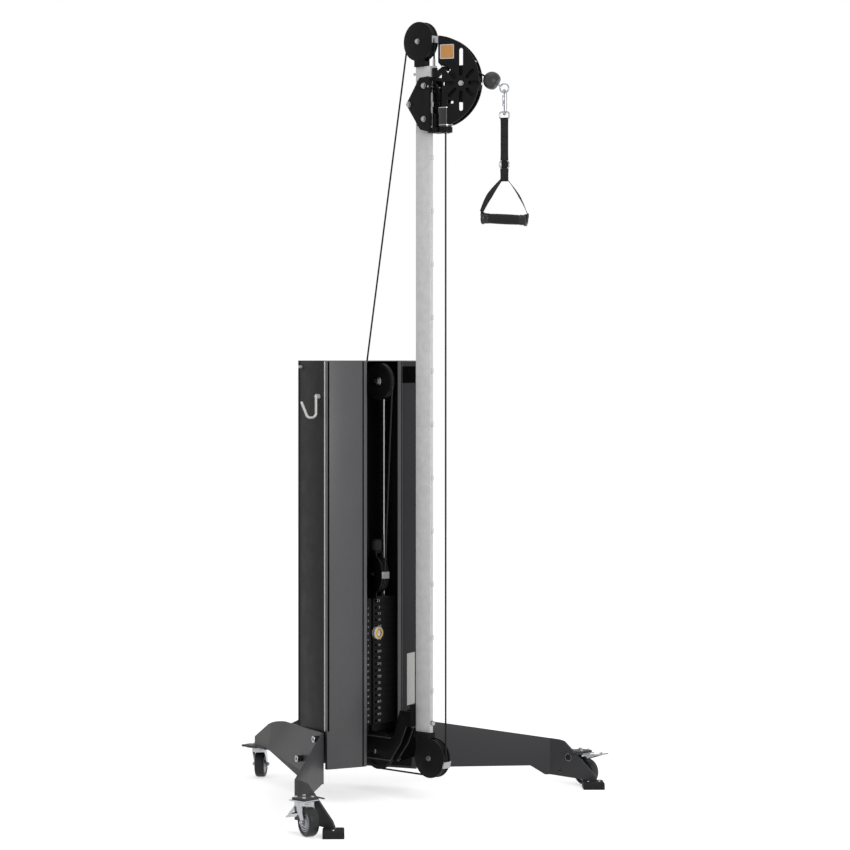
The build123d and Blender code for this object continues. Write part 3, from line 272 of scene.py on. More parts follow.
def swept(bm, section, places):
    """Adds a section carried along a run of places, and notes how far along and across each point is."""
    along = bm.verts.layers.float.get("along") or bm.verts.layers.float.new("along")
    across = bm.verts.layers.float.get("across") or bm.verts.layers.float.new("across")
    verts = []
    for x, y in section:
        vert = bm.verts.new(places[0] @ Vector((x, y, 0)))
        vert[across] = x
        verts.append(vert)
    face = bm.faces.new(verts)
    done = 0.0
    for before, after in zip(places, places[1:]):
        made = bmesh.ops.extrude_face_region(bm, geom=[face])["geom"]
        face = next(f for f in made if isinstance(f, bmesh.types.BMFace))
        bmesh.ops.transform(bm, matrix=after @ before.inverted(), verts=list(face.verts))
        done += (after.translation - before.translation).length
        for vert in face.verts:
            vert[along] = done


def round_section(radius, count=12):
    """The outline of a round section."""
    return arc((0, 0), radius, 0, 360 - 360 / count, count - 1)


def hexagon(radius):
    """The outline of a hexagonal bolt head."""
    return arc((0, 0), radius, 0, 300, 5)


def shown(name, data):
    """An object in the scene for a mesh, a curve, a lamp or a camera."""
    made = bpy.data.objects.new(name, data)
    bpy.context.scene.collection.objects.link(made)
    return made


def piece(bm, name, body, finish, angle=35.0, tidy=True):
    """Turns a shape in millimetres into an object, with its finish and the body that it moves with."""
    if tidy:
        bmesh.ops.remove_doubles(bm, verts=bm.verts, dist=1e-4)
        bmesh.ops.recalc_face_normals(bm, faces=bm.faces)
    bmesh.ops.transform(bm, matrix=ROW, verts=bm.verts)
    mesh = bpy.data.meshes.new(name)
    bm.to_mesh(mesh)
    bm.free()
    mesh.shade_smooth()
    mesh.set_sharp_from_angle(angle=math.radians(angle))
    mesh.materials.append(bpy.data.materials[finish])
    made = shown(name, mesh)
    if body:
        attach(made, body)
    return made


def plate(outline, low, high, place, bevel, name, body, finish):
    """Makes a piece of a single slab."""
    bm = bmesh.new()
    slab(bm, outline, low, high, place, bevel)
    piece(bm, name, body, finish)


def figures(words):
    """Flat figures as one shape, from (text, height, place)."""
    bm = bmesh.new()
    for text, height, place in words:
        curve = bpy.data.curves.new("figure", "FONT")
        curve.body = text
        curve.size = height
        curve.align_x = "CENTER"
        curve.align_y = "CENTER"
        curve.resolution_u = 3
        curve.extrude = 0.04
        holder = shown("figure", curve)
        bpy.context.view_layer.update()
        mesh = bpy.data.meshes.new_from_object(holder.evaluated_get(bpy.context.evaluated_depsgraph_get()))
        mesh.transform(place)
        bm.from_mesh(mesh)
        bpy.data.objects.remove(holder)
        bpy.data.curves.remove(curve)
        bpy.data.meshes.remove(mesh)
    return bm


SHARP = math.radians(40)


def softened(node, width, finish):
    """A copy of a CAD node whose sharp edges are rounded a little. It stands for the node."""
    bm = bmesh.new()
    bm.from_mesh(frame["nodes"][node].data)
    bmesh.ops.transform(bm, matrix=ROW.inverted(), verts=bm.verts)
    bmesh.ops.remove_doubles(bm, verts=bm.verts, dist=0.01)
    bmesh.ops.dissolve_limit(bm, angle_limit=math.radians(0.5), use_dissolve_boundaries=False, verts=bm.verts,
                             edges=bm.edges, delimit=set())
    edges = [e for e in bm.edges if e.is_manifold and e.calc_face_angle(0) > SHARP]
    bmesh.ops.bevel(bm, geom=edges, offset=width, offset_type="OFFSET", affect="EDGES", segments=2,
                    profile=0.5, material=-1, clamp_overlap=True)
    body = next(b for b, members in frame["record"]["behaviour"]["bodies"].items() if node in members)
    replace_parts(piece(bm, node + "_dressed", body, finish, tidy=False), node)


# ---- finishes
NOISE_LOW, NOISE_HIGH = 0.3, 0.7
WEAVE = (("along", 1.7), ("across", 2.2))
WEAVE_DEPTH = 0.0006

# Name, colour of the user's or on screen, roughness and its spread, specular, metallic, then the depth and
# size in millimetres of the flecks, the patches and the bumps
FINISHES = (
    ("zinc", "bar", 0.5, 0.06, 0.4, 0, (0.05, 1.2), (0.06, 22), (0.12, 1.5)),
    ("coat", "coat", 0.5, 0.05, 0.1, 0, (0.3, 1), (0.06, 60), (0.55, 1.1)),
    ("frame coat", (17, 17, 18), 0.5, 0.05, 0.1, 0, (0.12, 1.5), (0.06, 60), (0.3, 1.4)),
    ("hub coat", (20, 20, 21), 0.16, 0.05, 0.5, 0, (0.06, 1.5), (0.04, 60), (0.04, 2)),
    ("leg coat", "legs", 0.5, 0.008, 0.25, 0, (0.05, 1.4), (0.02, 120), (0.03, 1.2)),
    ("panel coat", "panels", 0.36, 0.02, 0.3, 0, (0.16, 1.6), (0.03, 120), (0.3, 1.3)),
    ("side coat", "sides", 0.5, 0.05, 0.12, 0, (0.3, 1.8), (0.06, 120), (0.5, 1.6)),
    ("plate coat", "plates", 0.6, 0.05, 0.12, 0, (0.2, 1.3), (0.1, 30), (0.5, 1.6)),
    ("steel", (164, 165, 168), 0.26, 0.05, 0.5, 1, (0.06, 1.5), (0.05, 10), (0.06, 0.6)),
    ("clip", (134, 134, 132), 0.42, 0.05, 0.3, 0.4, (0.06, 1.5), (0.06, 8), (0.06, 0.8)),
    ("chrome", (166, 168, 172), 0.12, 0.04, 0.5, 1, (0.03, 1.5), (0.04, 14), (0.03, 3)),
    ("nylon", (20, 20, 21), 0.4, 0.05, 0.15, 0, (0.08, 1.5), (0.06, 20), (0.08, 1)),
    ("slide", (28, 28, 29), 0.5, 0.05, 0.2, 0, (0.08, 1.5), (0, 60), (0.1, 1)),
    ("jacket", (22, 22, 24), 0.4, 0.05, 0.15, 0, (0.1, 1.5), (0.05, 60), (0.1, 0.9)),
    ("ball", (44, 44, 46), 0.42, 0.05, 0.4, 0, (0.05, 1.5), (0.04, 60), (0.03, 2)),
    ("foot rubber", (34, 34, 36), 0.68, 0.05, 0.2, 0, (0.16, 0.9), (0, 60), (0.35, 0.8)),
    ("tyre", (30, 30, 32), 0.45, 0.05, 0.35, 0, (0.12, 1.5), (0.1, 14), (0.15, 1.2)),
    ("hub", (158, 160, 163), 0.3, 0.05, 0.5, 0.6, (0.05, 1.5), (0.06, 10), (0.08, 0.8)),
    ("grip", (26, 26, 27), 0.6, 0.05, 0.25, 0, (0.18, 0.8), (0, 60), (0.5, 0.9)),
    ("grip end", (20, 20, 21), 0.3, 0.05, 0.4, 0, (0.06, 1.5), (0.05, 60), (0.05, 1)),
    ("gold", "knob", 0.3, 0.05, 0.5, 0.85, (0.05, 1.5), (0.06, 8), (0.05, 1)),
    ("pale rim", (208, 208, 205), 0.3, 0.05, 0.5, 0.3, (0.04, 1.5), (0.04, 8), (0, 1)),
    ("white ink", (206, 207, 206), 0.6, 0.05, 0.5, 0, (0.03, 1.5), (0.05, 6), (0, 1)),
    ("label", (192, 192, 189), 0.45, 0.05, 0.3, 0, (0.015, 1.5), (0.02, 40), (0, 1)),
    ("badge", "badge", 0.45, 0.05, 0.2, 0, (0.03, 1.5), (0.04, 12), (0, 1)),
    ("badge border", (208, 206, 202), 0.5, 0.05, 0.2, 0, (0.03, 1.5), (0.03, 10), (0, 1)),
    # Painted highlight: a near-white colour for the strips along the shroud's folded edges, where they catch
    # the light
    ("trim", (236, 236, 234), 0.45, 0.05, 0.5, 0, (0.03, 1.5), (0.05, 60), (0, 1)),
    ("seam", (15, 15, 16), 0.7, 0.05, 0, 0, (0.08, 1.5), (0.05, 60), (0, 1)),
    ("dark glass", (14, 14, 15), 0.6, 0.05, 0, 0, (0.03, 1.5), (0.03, 60), (0, 1)),
    # Painted shade: a darker coat for the sheet that covers the right front panel, where the panel faces away
    # from the lamps
    ("shade coat", (70, 69, 71), 0.7, 0.05, 0, 0, (0.12, 1.6), (0.04, 120), (0.2, 1.3)),
    ("weld", (60, 60, 62), 0.42, 0.05, 0.3, 0, (0.1, 1), (0.1, 6), (0.3, 1.4)),
    ("thread", (58, 58, 60), 0.7, 0.05, 0.5, 0, (0.2, 0.5), (0, 60), (0.3, 0.5)),
    ("web", (30, 30, 32), 0.72, 0.05, 0.3, 0, (0.16, 0.6), (0, 60), (0, 1)),
)


def feed(tree, node, inputs):
    """Gives each of a shader node's inputs a value or a link."""
    for name, value in inputs.items():
        if isinstance(value, bpy.types.NodeSocket):
            tree.links.new(value, node.inputs[name])
        else:
            node.inputs[name].default_value = value


def add_node(tree, kind, inputs, **settings):
    """Adds a shader node with its settings and inputs, and hands back its outputs."""
    made = tree.nodes.new("ShaderNode" + kind)
    for name, value in settings.items():
        setattr(made, name, value)
    feed(tree, made, inputs)
    return made.outputs


def relief(tree, strength, depth, height):
    """The normal of a surface that rises and falls with a height."""
    return add_node(tree, "Bump", {"Strength": strength, "Distance": depth, "Height": height})["Normal"]


def finish(name, colour, rough, spread, specular, metal, flecks, patches, bumps):
    """A surface: flecks and patches vary its colour, bumps its normal, and smaller patches its shine."""
    material = bpy.data.materials.new(name)
    material.use_nodes = True
    tree = material.node_tree
    where = add_node(tree, "TexCoord", {})["Object"]

    def noise(size, detail):
        return add_node(tree, "TexNoise", {"Vector": where, "Scale": 1000 / size, "Detail": detail})["Fac"]

    def level(size, detail, middle, swing):
        inputs = {"Value": noise(size, detail), "From Min": NOISE_LOW, "From Max": NOISE_HIGH,
                  "To Min": middle - swing, "To Max": middle + swing}
        return add_node(tree, "MapRange", inputs)["Result"]

    (fleck, fleck_size), (patch, patch_size), (bump, bump_size) = flecks, patches, bumps
    shade = add_node(tree, "Math", {0: level(fleck_size, 2, 1, fleck), 1: level(patch_size, 3, 1, patch)},
                     operation="MULTIPLY")["Value"]
    tint = add_node(tree, "Mix", {"Factor": 1.0, "A": (*colour, 1), "B": shade}, data_type="RGBA",
                    blend_type="MULTIPLY")["Result"]
    inputs = {"Metallic": metal, "Specular IOR Level": specular, "Base Color": tint,
              "Roughness": level(patch_size / 3, 3, rough, spread)}
    if bump:
        # The grain is a quarter as deep as it is wide, here in metres
        inputs["Normal"] = relief(tree, bump, bump_size / 4000, noise(bump_size, 2))
    feed(tree, tree.nodes["Principled BSDF"], inputs)


def weave(tree):
    """Ribs along and across a tape, from the distances that its points carry."""
    waves = {}
    for i, (side, pitch) in enumerate(WEAVE):
        far = add_node(tree, "Attribute", {}, attribute_name=side)["Fac"]
        turns = add_node(tree, "Math", {0: far, 1: math.tau / pitch}, operation="MULTIPLY")["Value"]
        waves[i] = add_node(tree, "Math", {0: turns}, operation="SINE")["Value"]
    height = add_node(tree, "Math", waves, operation="MULTIPLY")["Value"]
    feed(tree, tree.nodes["Principled BSDF"], {"Normal": relief(tree, 0.7, WEAVE_DEPTH, height)})


NODE_FINISHES = {
    "zinc": "rail rail_studs",
    "coat": "head_plates carriage_frame rail_necks release_lever",
    "hub coat": "swivel_hub",
    "leg coat": "left_leg right_leg caster_brackets",
    "frame coat": "base_frame stack_yoke top_crossmember",
    "panel coat": "shroud_front_panels shroud_cap",
    "side coat": "shroud_side_panels shroud_rear_panel",
    "plate coat": "resting_plates lifted_plates",
    "steel": "carriage_bolts head_fasteners pulley_axles selector_stem cable_terminal base_fasteners",
    "chrome": "end_ring snap_hook snap_gate strap_rings exit_guides guide_rods caster_plates "
              "left_caster_fork right_caster_fork rear_caster_fork left_caster_pedal right_caster_pedal",
    "pale rim": "accessory_hook",
    "nylon": "head_pulley column_top_pulley column_low_pulley turn_pulley guide_pulley bottom_pulley "
             "floating_pulley",
    "slide": "carriage_slides",
    "jacket": "cable_fixed cable_head cable_upper_run cable_lower_run cable_pull_run cable_stack_runs",
    "ball": "ball_stop",
    "foot rubber": "foot_pads",
    "tyre": "left_caster_wheel right_caster_wheel rear_caster_wheel",
    "web": "strap",
    "grip": "grip",
    "gold": "selector_pin",
}

# Nodes, how far their edges are rounded, finish and slot
ROUNDED = (
    ("rail", 0.8, "zinc", "zinc_bar"),
    ("rail_studs", 0.6, "zinc", "bright_steel"),
    ("head_plates carriage_frame rail_necks", 0.5, "coat", "black_coat"),
    ("left_leg right_leg", 0.8, "leg coat", "leg_coat"),
    ("base_frame", 0.6, "frame coat", "black_coat"),
    ("caster_brackets", 0.8, "leg coat", "leg_coat"),
    ("stack_yoke", 0.8, "frame coat", "black_coat"),
    ("shroud_front_panels", 0.6, "panel coat", "panel_coat"),
    ("shroud_side_panels", 0.6, "side coat", "panel_coat"),
    ("foot_pads", 0.8, "foot rubber", "foot_rubber"),
    ("caster_plates", 0.6, "chrome", "bright_steel"),
)


class CROSSOVER_OT_finishes(bpy.types.Operator):
    """Gives every part of the machine its finish"""

    bl_idname = "crossover.finishes"
    bl_label = "Finishes"

    def execute(self, context):
        hues = context.scene.crossover_colours
        for name, colour, *values in FINISHES:
            finish(name, getattr(hues, colour) if isinstance(colour, str) else paint(*colour), *values)
        weave(bpy.data.materials["web"].node_tree)
        for name, nodes in NODE_FINISHES.items():
            for node in nodes.split():
                part = frame["nodes"][node]
                part.data.materials.clear()
                part.data.materials.append(bpy.data.materials[name])
                part.data.shade_smooth()
                part.data.set_sharp_from_angle(angle=math.radians(32))
        return {"FINISHED"}


class CROSSOVER_OT_edges(bpy.types.Operator):
    """Rounds the sharp edges of the plates, legs, panels and bar a little"""

    bl_idname = "crossover.edges"
    bl_label = "Rounded edges"

    def execute(self, context):
        for nodes, width, coat, slot in ROUNDED:
            for node in nodes.split():
                softened(node, width, coat)
        return {"FINISHED"}


# ---- cables
CABLE_SHORT = 8.0
STRETCH_AT, STRETCH_RISE = 200.0, 6.0


class CROSSOVER_OT_cables(bpy.types.Operator):
    """Lays the cable runs of the carriage, the stack and the handle"""

    bl_idname = "crossover.cables"
    bl_label = "Cable runs"

    def run(self, name, points, across, ends, bodies, node):
        """One run laid along its points, which stands for its CAD node; its ends and bodies are not used."""
        bm = bmesh.new()
        swept(bm, round_section(CABLE), route(points, across))
        made = piece(bm, name, None, "jacket", angle=60)
        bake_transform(made)
        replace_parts(made, node)

    def execute(self, context):
        def straight(start, end, count):
            return [Vector(start).lerp(Vector(end), i / count) for i in range(count + 1)]

        stem = TOP_PULLEY[0] - WRAP
        near, far = [HEAD @ Vector((*pull_point(reach), 0)) for reach in (0, BALL_REACH - CABLE_SHORT)]
        for name, start, end, count, across, bodies, node in (
                ("carriage_cable_upper", (0, stem, TOP_PULLEY[1]), (0, stem, TERMINAL_TOP), 14, (1, 0, 0),
                 ("frame", "carriage"), "cable_upper_run"),
                ("carriage_cable_lower", (0, HEAD_AT[1], LOW_PULLEY[1]), (0, HEAD_AT[1], ARM_LOW), 60,
                 (1, 0, 0), ("frame", "carriage"), "cable_lower_run"),
                ("pull_cable", near, far, 20, (0, 0, 1), ("head", "pull"), "cable_pull_run")):
            self.run(name, straight(start, end, count), across, (start, end), bodies, node)
        wrap = [FLOAT @ Vector((u, v, 0)) for u, v in arc((0, FLOAT_AT[2]), WRAP, 0, -180, 24)]
        rear = (GUIDE_SIDE, GUIDE_PULLEY[0] + WRAP, GUIDE_PULLEY[1])
        front = (0, TURN_PULLEY[0] - WRAP, TURN_PULLEY[1])
        points = straight(rear, wrap[0], 24)[:-1] + wrap + straight(wrap[-1], front, 24)[1:]
        across = Vector((FLOAT_DIR[1], -FLOAT_DIR[0], 0))
        ends = (0, STRETCH_AT, TURN_PULLEY[1]), (0, STRETCH_AT, FLOAT_AT[2] + STRETCH_RISE)
        self.run("stack_cable", points, across, ends, ("frame", "stack"), "cable_stack_runs")
        return {"FINISHED"}


# ---- stack
FIGURE_BACK = 0.06
WEIGHT_STEP, WEIGHT_SIDE, PLACE_SIDE = 2.5, 31.0, -17.0
TOP_SIDE, TOP_RISE = 26.0, 11.0


class CROSSOVER_OT_figures(bpy.types.Operator):
    """Paints the weights and place numbers on the plates"""

    bl_idname = "crossover.figures"
    bl_label = "Plate figures"

    def word(self, text, height, side, up):
        """The text, height and place of a figure on the front of the stack."""
        place = Matrix.Translation((0, STACK_FRONT - FIGURE_BACK, up)) @ FACING
        return text, height, place @ Matrix.Translation((side, 0, 0))

    def execute(self, context):
        height = context.scene.crossover_sizes.figure_height * 1000
        resting, high = PLATE_COUNT - LIFTED_COUNT, STACK_LOW + PLATE_COUNT * PLATE_TALL + TOP_RISE
        top = self.word(f"{WEIGHT_STEP:g}", height * 1.2, TOP_SIDE, high)
        lifted = range(resting, PLATE_COUNT)
        for body, levels, last in (("frame", range(resting), []), ("stack", lifted, [top])):
            words = []
            for i in levels:
                place, up = PLATE_COUNT - i, STACK_LOW + (i + 0.5) * PLATE_TALL
                words.append(self.word(f"{WEIGHT_STEP * (place + 1):g}", height, WEIGHT_SIDE, up))
                words.append(self.word(str(place), height * 0.85, PLACE_SIDE, up))
            piece(figures(words + last), body + "_figures", body, "white ink", angle=60)
        return {"FINISHED"}


class CROSSOVER_OT_selector(bpy.types.Operator):
    """Turns the selector knob, with its rim, gold ring, domed centre and steel pin"""

    bl_idname = "crossover.selector"
    bl_label = "Selector knob"

    def execute(self, context):
        r = context.scene.crossover_sizes.knob_radius * 1000
        z = STACK_LOW + (PLATE_COUNT - LIFTED_COUNT + 0.5) * PLATE_TALL
        place = Matrix.Translation((STEM_SIDE, STACK_FRONT, z)) @ FACING
        shapes = (
            ("knob_rim", "pale rim", ((0, 0.4), (r - 1.5, 0.4), (r, 2), (r, 12), (r - 1, 13.4),
                                      (r - 2.6, 13.8), (r - 3, 12.6), (r - 3.2, 11), (0, 11))),
            ("knob_ring", "gold", ((r - 3.2, 11), (r - 3.3, 13.4), (r - 4.2, 14.4), (r - 7.2, 14.6),
                                   (r - 8, 13.8), (r - 8.2, 11))),
            ("knob_dome", "chrome", ((r - 8.3, 11), (r - 8.5, 13), (r - 9.4, 14.4), (r - 12, 15.2), (3, 15.6),
                                     (0, 15.7))),
            ("knob_pin", "steel", ((0, -62), (3.4, -62), (4.95, -59), (4.95, 0.4), (0, 0.4))))
        made = {}
        for name, coat, profile in shapes:
            bm = bmesh.new()
            turned(bm, profile, place, steps=64)
            made[name] = piece(bm, name, "pin", coat)
        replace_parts(made["knob_ring"], "selector_pin")
        return {"FINISHED"}


# ---- shroud
# Piece, finish, slot, width, height, corner, place, heights over the sheet and edge rounding of each plate on
# the right front panel
PANEL_PLATES = (
    # Painted shade: the first plate is a darker sheet that covers most of the right front panel
    ("right_front_painted_shade", "shade coat", "panel_coat", PANEL_LONG - 16, PANEL_HIGH - KICK_HIGH - 6, 0,
     (PANEL_LONG / 2, (PANEL_HIGH + KICK_HIGH) / 2), 0, 0.5, 0.15),
    ("blank_label", "label", None, 56, 156, 3, (68, 339), 0.4, 0.9, 0.1),
    ("dark_window", "dark glass", None, 94, 50, 3, (54, 1257.5), 0.4, 1.4, 0.3),
    ("kick_plate", "seam", "black_coat", KICK_LONG, KICK_HIGH - PANEL_LOW, 0,
     (KICK_LONG / 2 - 12.5, (KICK_HIGH + PANEL_LOW) / 2), 0, 1.6, 0.5),
)


class CROSSOVER_OT_panel_trim(bpy.types.Operator):
    """Adds the shroud's painted highlight strips along its folds and its seams, and on its front a sheet of
    painted shade, the label, window and kick plate
    """

    bl_idname = "crossover.panel_trim"
    bl_label = "Panel trim"

    def execute(self, context):
        front, flank = upright(*FRONT_PANEL), upright(*SIDE_PANEL)
        middle, tall = (PANEL_HIGH + SIDE_LOW) / 2, PANEL_HIGH - SIDE_LOW
        for side, turn in (("left", MIRROR), ("right", Matrix())):
            # Painted highlight: a near-white strip along the fold between the side and front panels
            highlight_place = turn @ at(flank, -1.6, middle)
            plate(box_outline(4.6, tall - 4), -2.0, 1.9, highlight_place, 0.7, side + "_painted_edge_highlight", "frame", "trim")
            bm = bmesh.new()
            slab(bm, box_outline(5.4, tall - 6), -0.2, 1.9, turn @ at(front, PANEL_LONG - 3.2, middle), 0.5)
            slab(bm, box_outline(4.4, PANEL_HIGH - PANEL_LOW - 6), -0.2, 1.7,
                 turn @ at(front, 1.4, (PANEL_HIGH + PANEL_LOW) / 2), 0.5)
            piece(bm, side + "_edge_seam", "frame", "seam")
        out = SHEET / 2
        for name, coat, slot, width, height, corner, place, low, high, bevel in PANEL_PLATES:
            plate(box_outline(width, height, corner), out + low, out + high, at(front, *place), bevel, name,
                  "frame", coat)
        return {"FINISHED"}


# ---- head and carriage
BADGE_AT = (10.0, 2196.0, 20.0)
BADGE_BORDER = 2.5
HUB_RIMS = ((1982.2, 1985.4), (2032.6, 2035.8))
HEAD_BOLT_LOW = 2142.0
DISC_RIMS = ((79, 15), (1, -57))
KEEPER_OUT = 58.4


class CROSSOVER_OT_head_trim(bpy.types.Operator):
    """Adds the blank badge, the hub's bright rims, the bolts and the strips between the disc's rims"""

    bl_idname = "crossover.head_trim"
    bl_label = "Head trim"

    def execute(self, context):
        size = context.scene.crossover_sizes.badge_size * 1000
        face, field = at(HEAD, *BADGE_AT), size - 2 * BADGE_BORDER
        plate(box_outline(size, size, 2.5), 0, 0.25, face, 0, "badge_border", "head", "badge border")
        plate(box_outline(field, field, 1.5), 0.25, 0.45, face, 0, "badge_field", "head", "badge")
        bm = bmesh.new()
        for low, high in HUB_RIMS:
            turned(bm, ((21.4, low), (22.5, low + 0.5), (22.5, high - 0.5), (21.4, high)),
                   Matrix.Translation((*HEAD_AT, 0)), steps=64)
        piece(bm, "hub_rims", "head", "chrome")
        bm = bmesh.new()
        for place in both(at(HEAD, *HEAD_PULLEY)):
            turned(bm, ((0, 12), (4.9, 12), (4.9, 20), (7.6, 20), (8, 20.5), (8, 21.3), (7.6, 21.8),
                        (0, 21.8)), place)
            slab(bm, hexagon(6.6), 21.7, 27.4, place, 0.7)
        turned(bm, ((0, 0), (4, 0), (4, 14), (0, 14)), Matrix.Translation((*HEAD_AT, HEAD_BOLT_LOW)))
        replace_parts(piece(bm, "head_bolt", "head", "chrome"), "head_fasteners")
        bm = bmesh.new()
        for start, end in DISC_RIMS:
            rim = [(u, v, 0) for u, v in arc(DISC_AT, DISC_RADIUS, start, end, 40)]
            swept(bm, box_outline(30, 2.4), [HEAD @ place for place in route(rim, (0, 0, 1))])
        piece(bm, "disc_rim", "head", "seam")
        return {"FINISHED"}


class CROSSOVER_OT_pulley_trim(bpy.types.Operator):
    """Adds bearing bosses to the pulleys, and bolts, a keeper, cheeks and a bumper to the floating one"""

    bl_idname = "crossover.pulley_trim"
    bl_label = "Pulley trim"

    def execute(self, context):
        hanging = at(FLOAT, 0, FLOAT_AT[2])
        for name, centre in (("head", at(HEAD, *HEAD_PULLEY)), ("top", at(SIDE, *TOP_PULLEY)),
                             ("low", at(SIDE, *LOW_PULLEY)), ("turn", at(SIDE, *TURN_PULLEY)),
                             ("guide", at(SIDE, *GUIDE_PULLEY, GUIDE_SIDE)),
                             ("bottom", at(SIDE, TURN_PULLEY[0], LOW_PULLEY[1])), ("floating", hanging)):
            bm = bmesh.new()
            for place in both(centre):
                turned(bm, ((6.5, 4), (12.5, 4), (13.2, 7), (12.6, 7.6), (6.5, 7.6)), place, steps=40)
            piece(bm, name + "_bearing", name + "_wheel", "steel")
        bm, cheeks = bmesh.new(), bmesh.new()
        for place in both(hanging):
            turned(bm, ((0, 12), (6, 12), (6, 13.1), (5.4, 13.6), (0, 13.6)), place, steps=32)
            slab(bm, hexagon(5.0), 13.5, 18.0, place, 0.6)
            turned(cheeks, ((6, 8.1), (56.2, 8.1), (57.2, 8.8), (57.2, 11.2), (56.2, 12), (6, 12)), place,
                   steps=72, closed=True)
        piece(bm, "yoke_bolts", "stack", "chrome")
        plate(box_outline(2.4, 20), -12.4, 12.4, at(FLOAT, -KEEPER_OUT, FLOAT_AT[2]), 0.5, "yoke_keeper",
              "stack", "clip")
        piece(cheeks, "yoke_cheeks", "stack", "frame coat")
        bm = bmesh.new()
        turned(bm, ((0, 103), (11, 103), (14.4, 101), (15.6, 97), (15.6, 74), (14.6, 70.5), (0, 70.5)),
               Matrix.Translation(FLOAT_AT), steps=48)
        piece(bm, "yoke_bumper", "stack", "foot rubber")
        return {"FINISHED"}


# ---- handle
class CROSSOVER_OT_ball(bpy.types.Operator):
    """Turns the ball stop, with its flat end and its cable hole"""

    bl_idname = "crossover.ball"
    bl_label = "Ball stop"

    def execute(self, context):
        here, there = [HEAD @ Vector((*pull_point(reach), 0)) for reach in (BALL_REACH, RING_REACH)]
        place = station(here, there - here, (0, 0, 1))
        edge = math.degrees(math.asin(BALL_FLAT / BALL_RADIUS))
        flat = math.sqrt(BALL_RADIUS ** 2 - BALL_FLAT ** 2)
        profile = arc((0, 0), BALL_RADIUS, -84, edge - 3, 26)
        profile += [(flat - 0.4, BALL_FLAT - 0.3), (flat - 1.6, BALL_FLAT), (3.2, BALL_FLAT),
                    (3.2, BALL_FLAT - 6)]
        bm = bmesh.new()
        turned(bm, profile, place, steps=64)
        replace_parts(piece(bm, "ball", "pull", "ball", angle=40), "ball_stop")
        return {"FINISHED"}


class CROSSOVER_OT_snap_hook(bpy.types.Operator):
    """Forges the snap hook: a tapering bar with a nose and an eye, and a gate"""

    bl_idname = "crossover.snap_hook"
    bl_label = "Snap hook"

    WIDE = (3.0, 3.3, 3.6, 3.8, 4.0, 4.0, 4.0, 4.1, 4.3, 4.6, 4.8, 5.0, 5.0)

    def execute(self, context):
        across = upright((HEAD @ Vector((pull_point(RING_REACH)[0], 0, 0))).to_2d(),
                         (HEAD @ Vector((pull_point(RING_REACH)[0], 0, 1))).to_2d())
        top = pull_point(RING_REACH)[1] - RING_RADIUS + RING_WIRE + HOOK_WIRE + HOOK_GAP
        low = top - HOOK_TALL
        line = arc((0, top - HOOK_HALF), HOOK_HALF, 12, 180, 10)
        line += [(-HOOK_HALF, low + 40), (-HOOK_HALF, low + 24)]
        line += arc((0, low + HOOK_HALF), HOOK_HALF, 180, 348, 10)
        places = route([(x, y, 0) for x, y in line], (0, 0, 1))
        sized, count = [], len(self.WIDE)
        for i, place in enumerate(places):
            radius = self.WIDE[i] if i < count else 4.2 - (i - count) / (len(places) - count)
            sized.append(across @ place @ Matrix.Diagonal((radius, radius, 1, 1)))
        bm = bmesh.new()
        swept(bm, round_section(1.0, 16), sized)
        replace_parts(piece(bm, "snap_body", "snap", "chrome", angle=50), "snap_hook")
        bm = bmesh.new()
        middle = across @ Matrix.Translation((HOOK_HALF, (top + low) / 2 + GATE_RISE, 0))
        turned(bm, ((0, -15.4), (2.6, -15.4), (3.2, -14.4), (3.2, -9), (2.8, -8), (2.8, 11), (3.2, 12),
                    (3.2, 14.4), (2.6, 15.4), (0, 15.4)),
               middle @ Matrix.Rotation(math.radians(-90), 4, "X"), steps=24)
        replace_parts(piece(bm, "snap_gate_bar", "gate", "chrome"), "snap_gate")
        return {"FINISHED"}


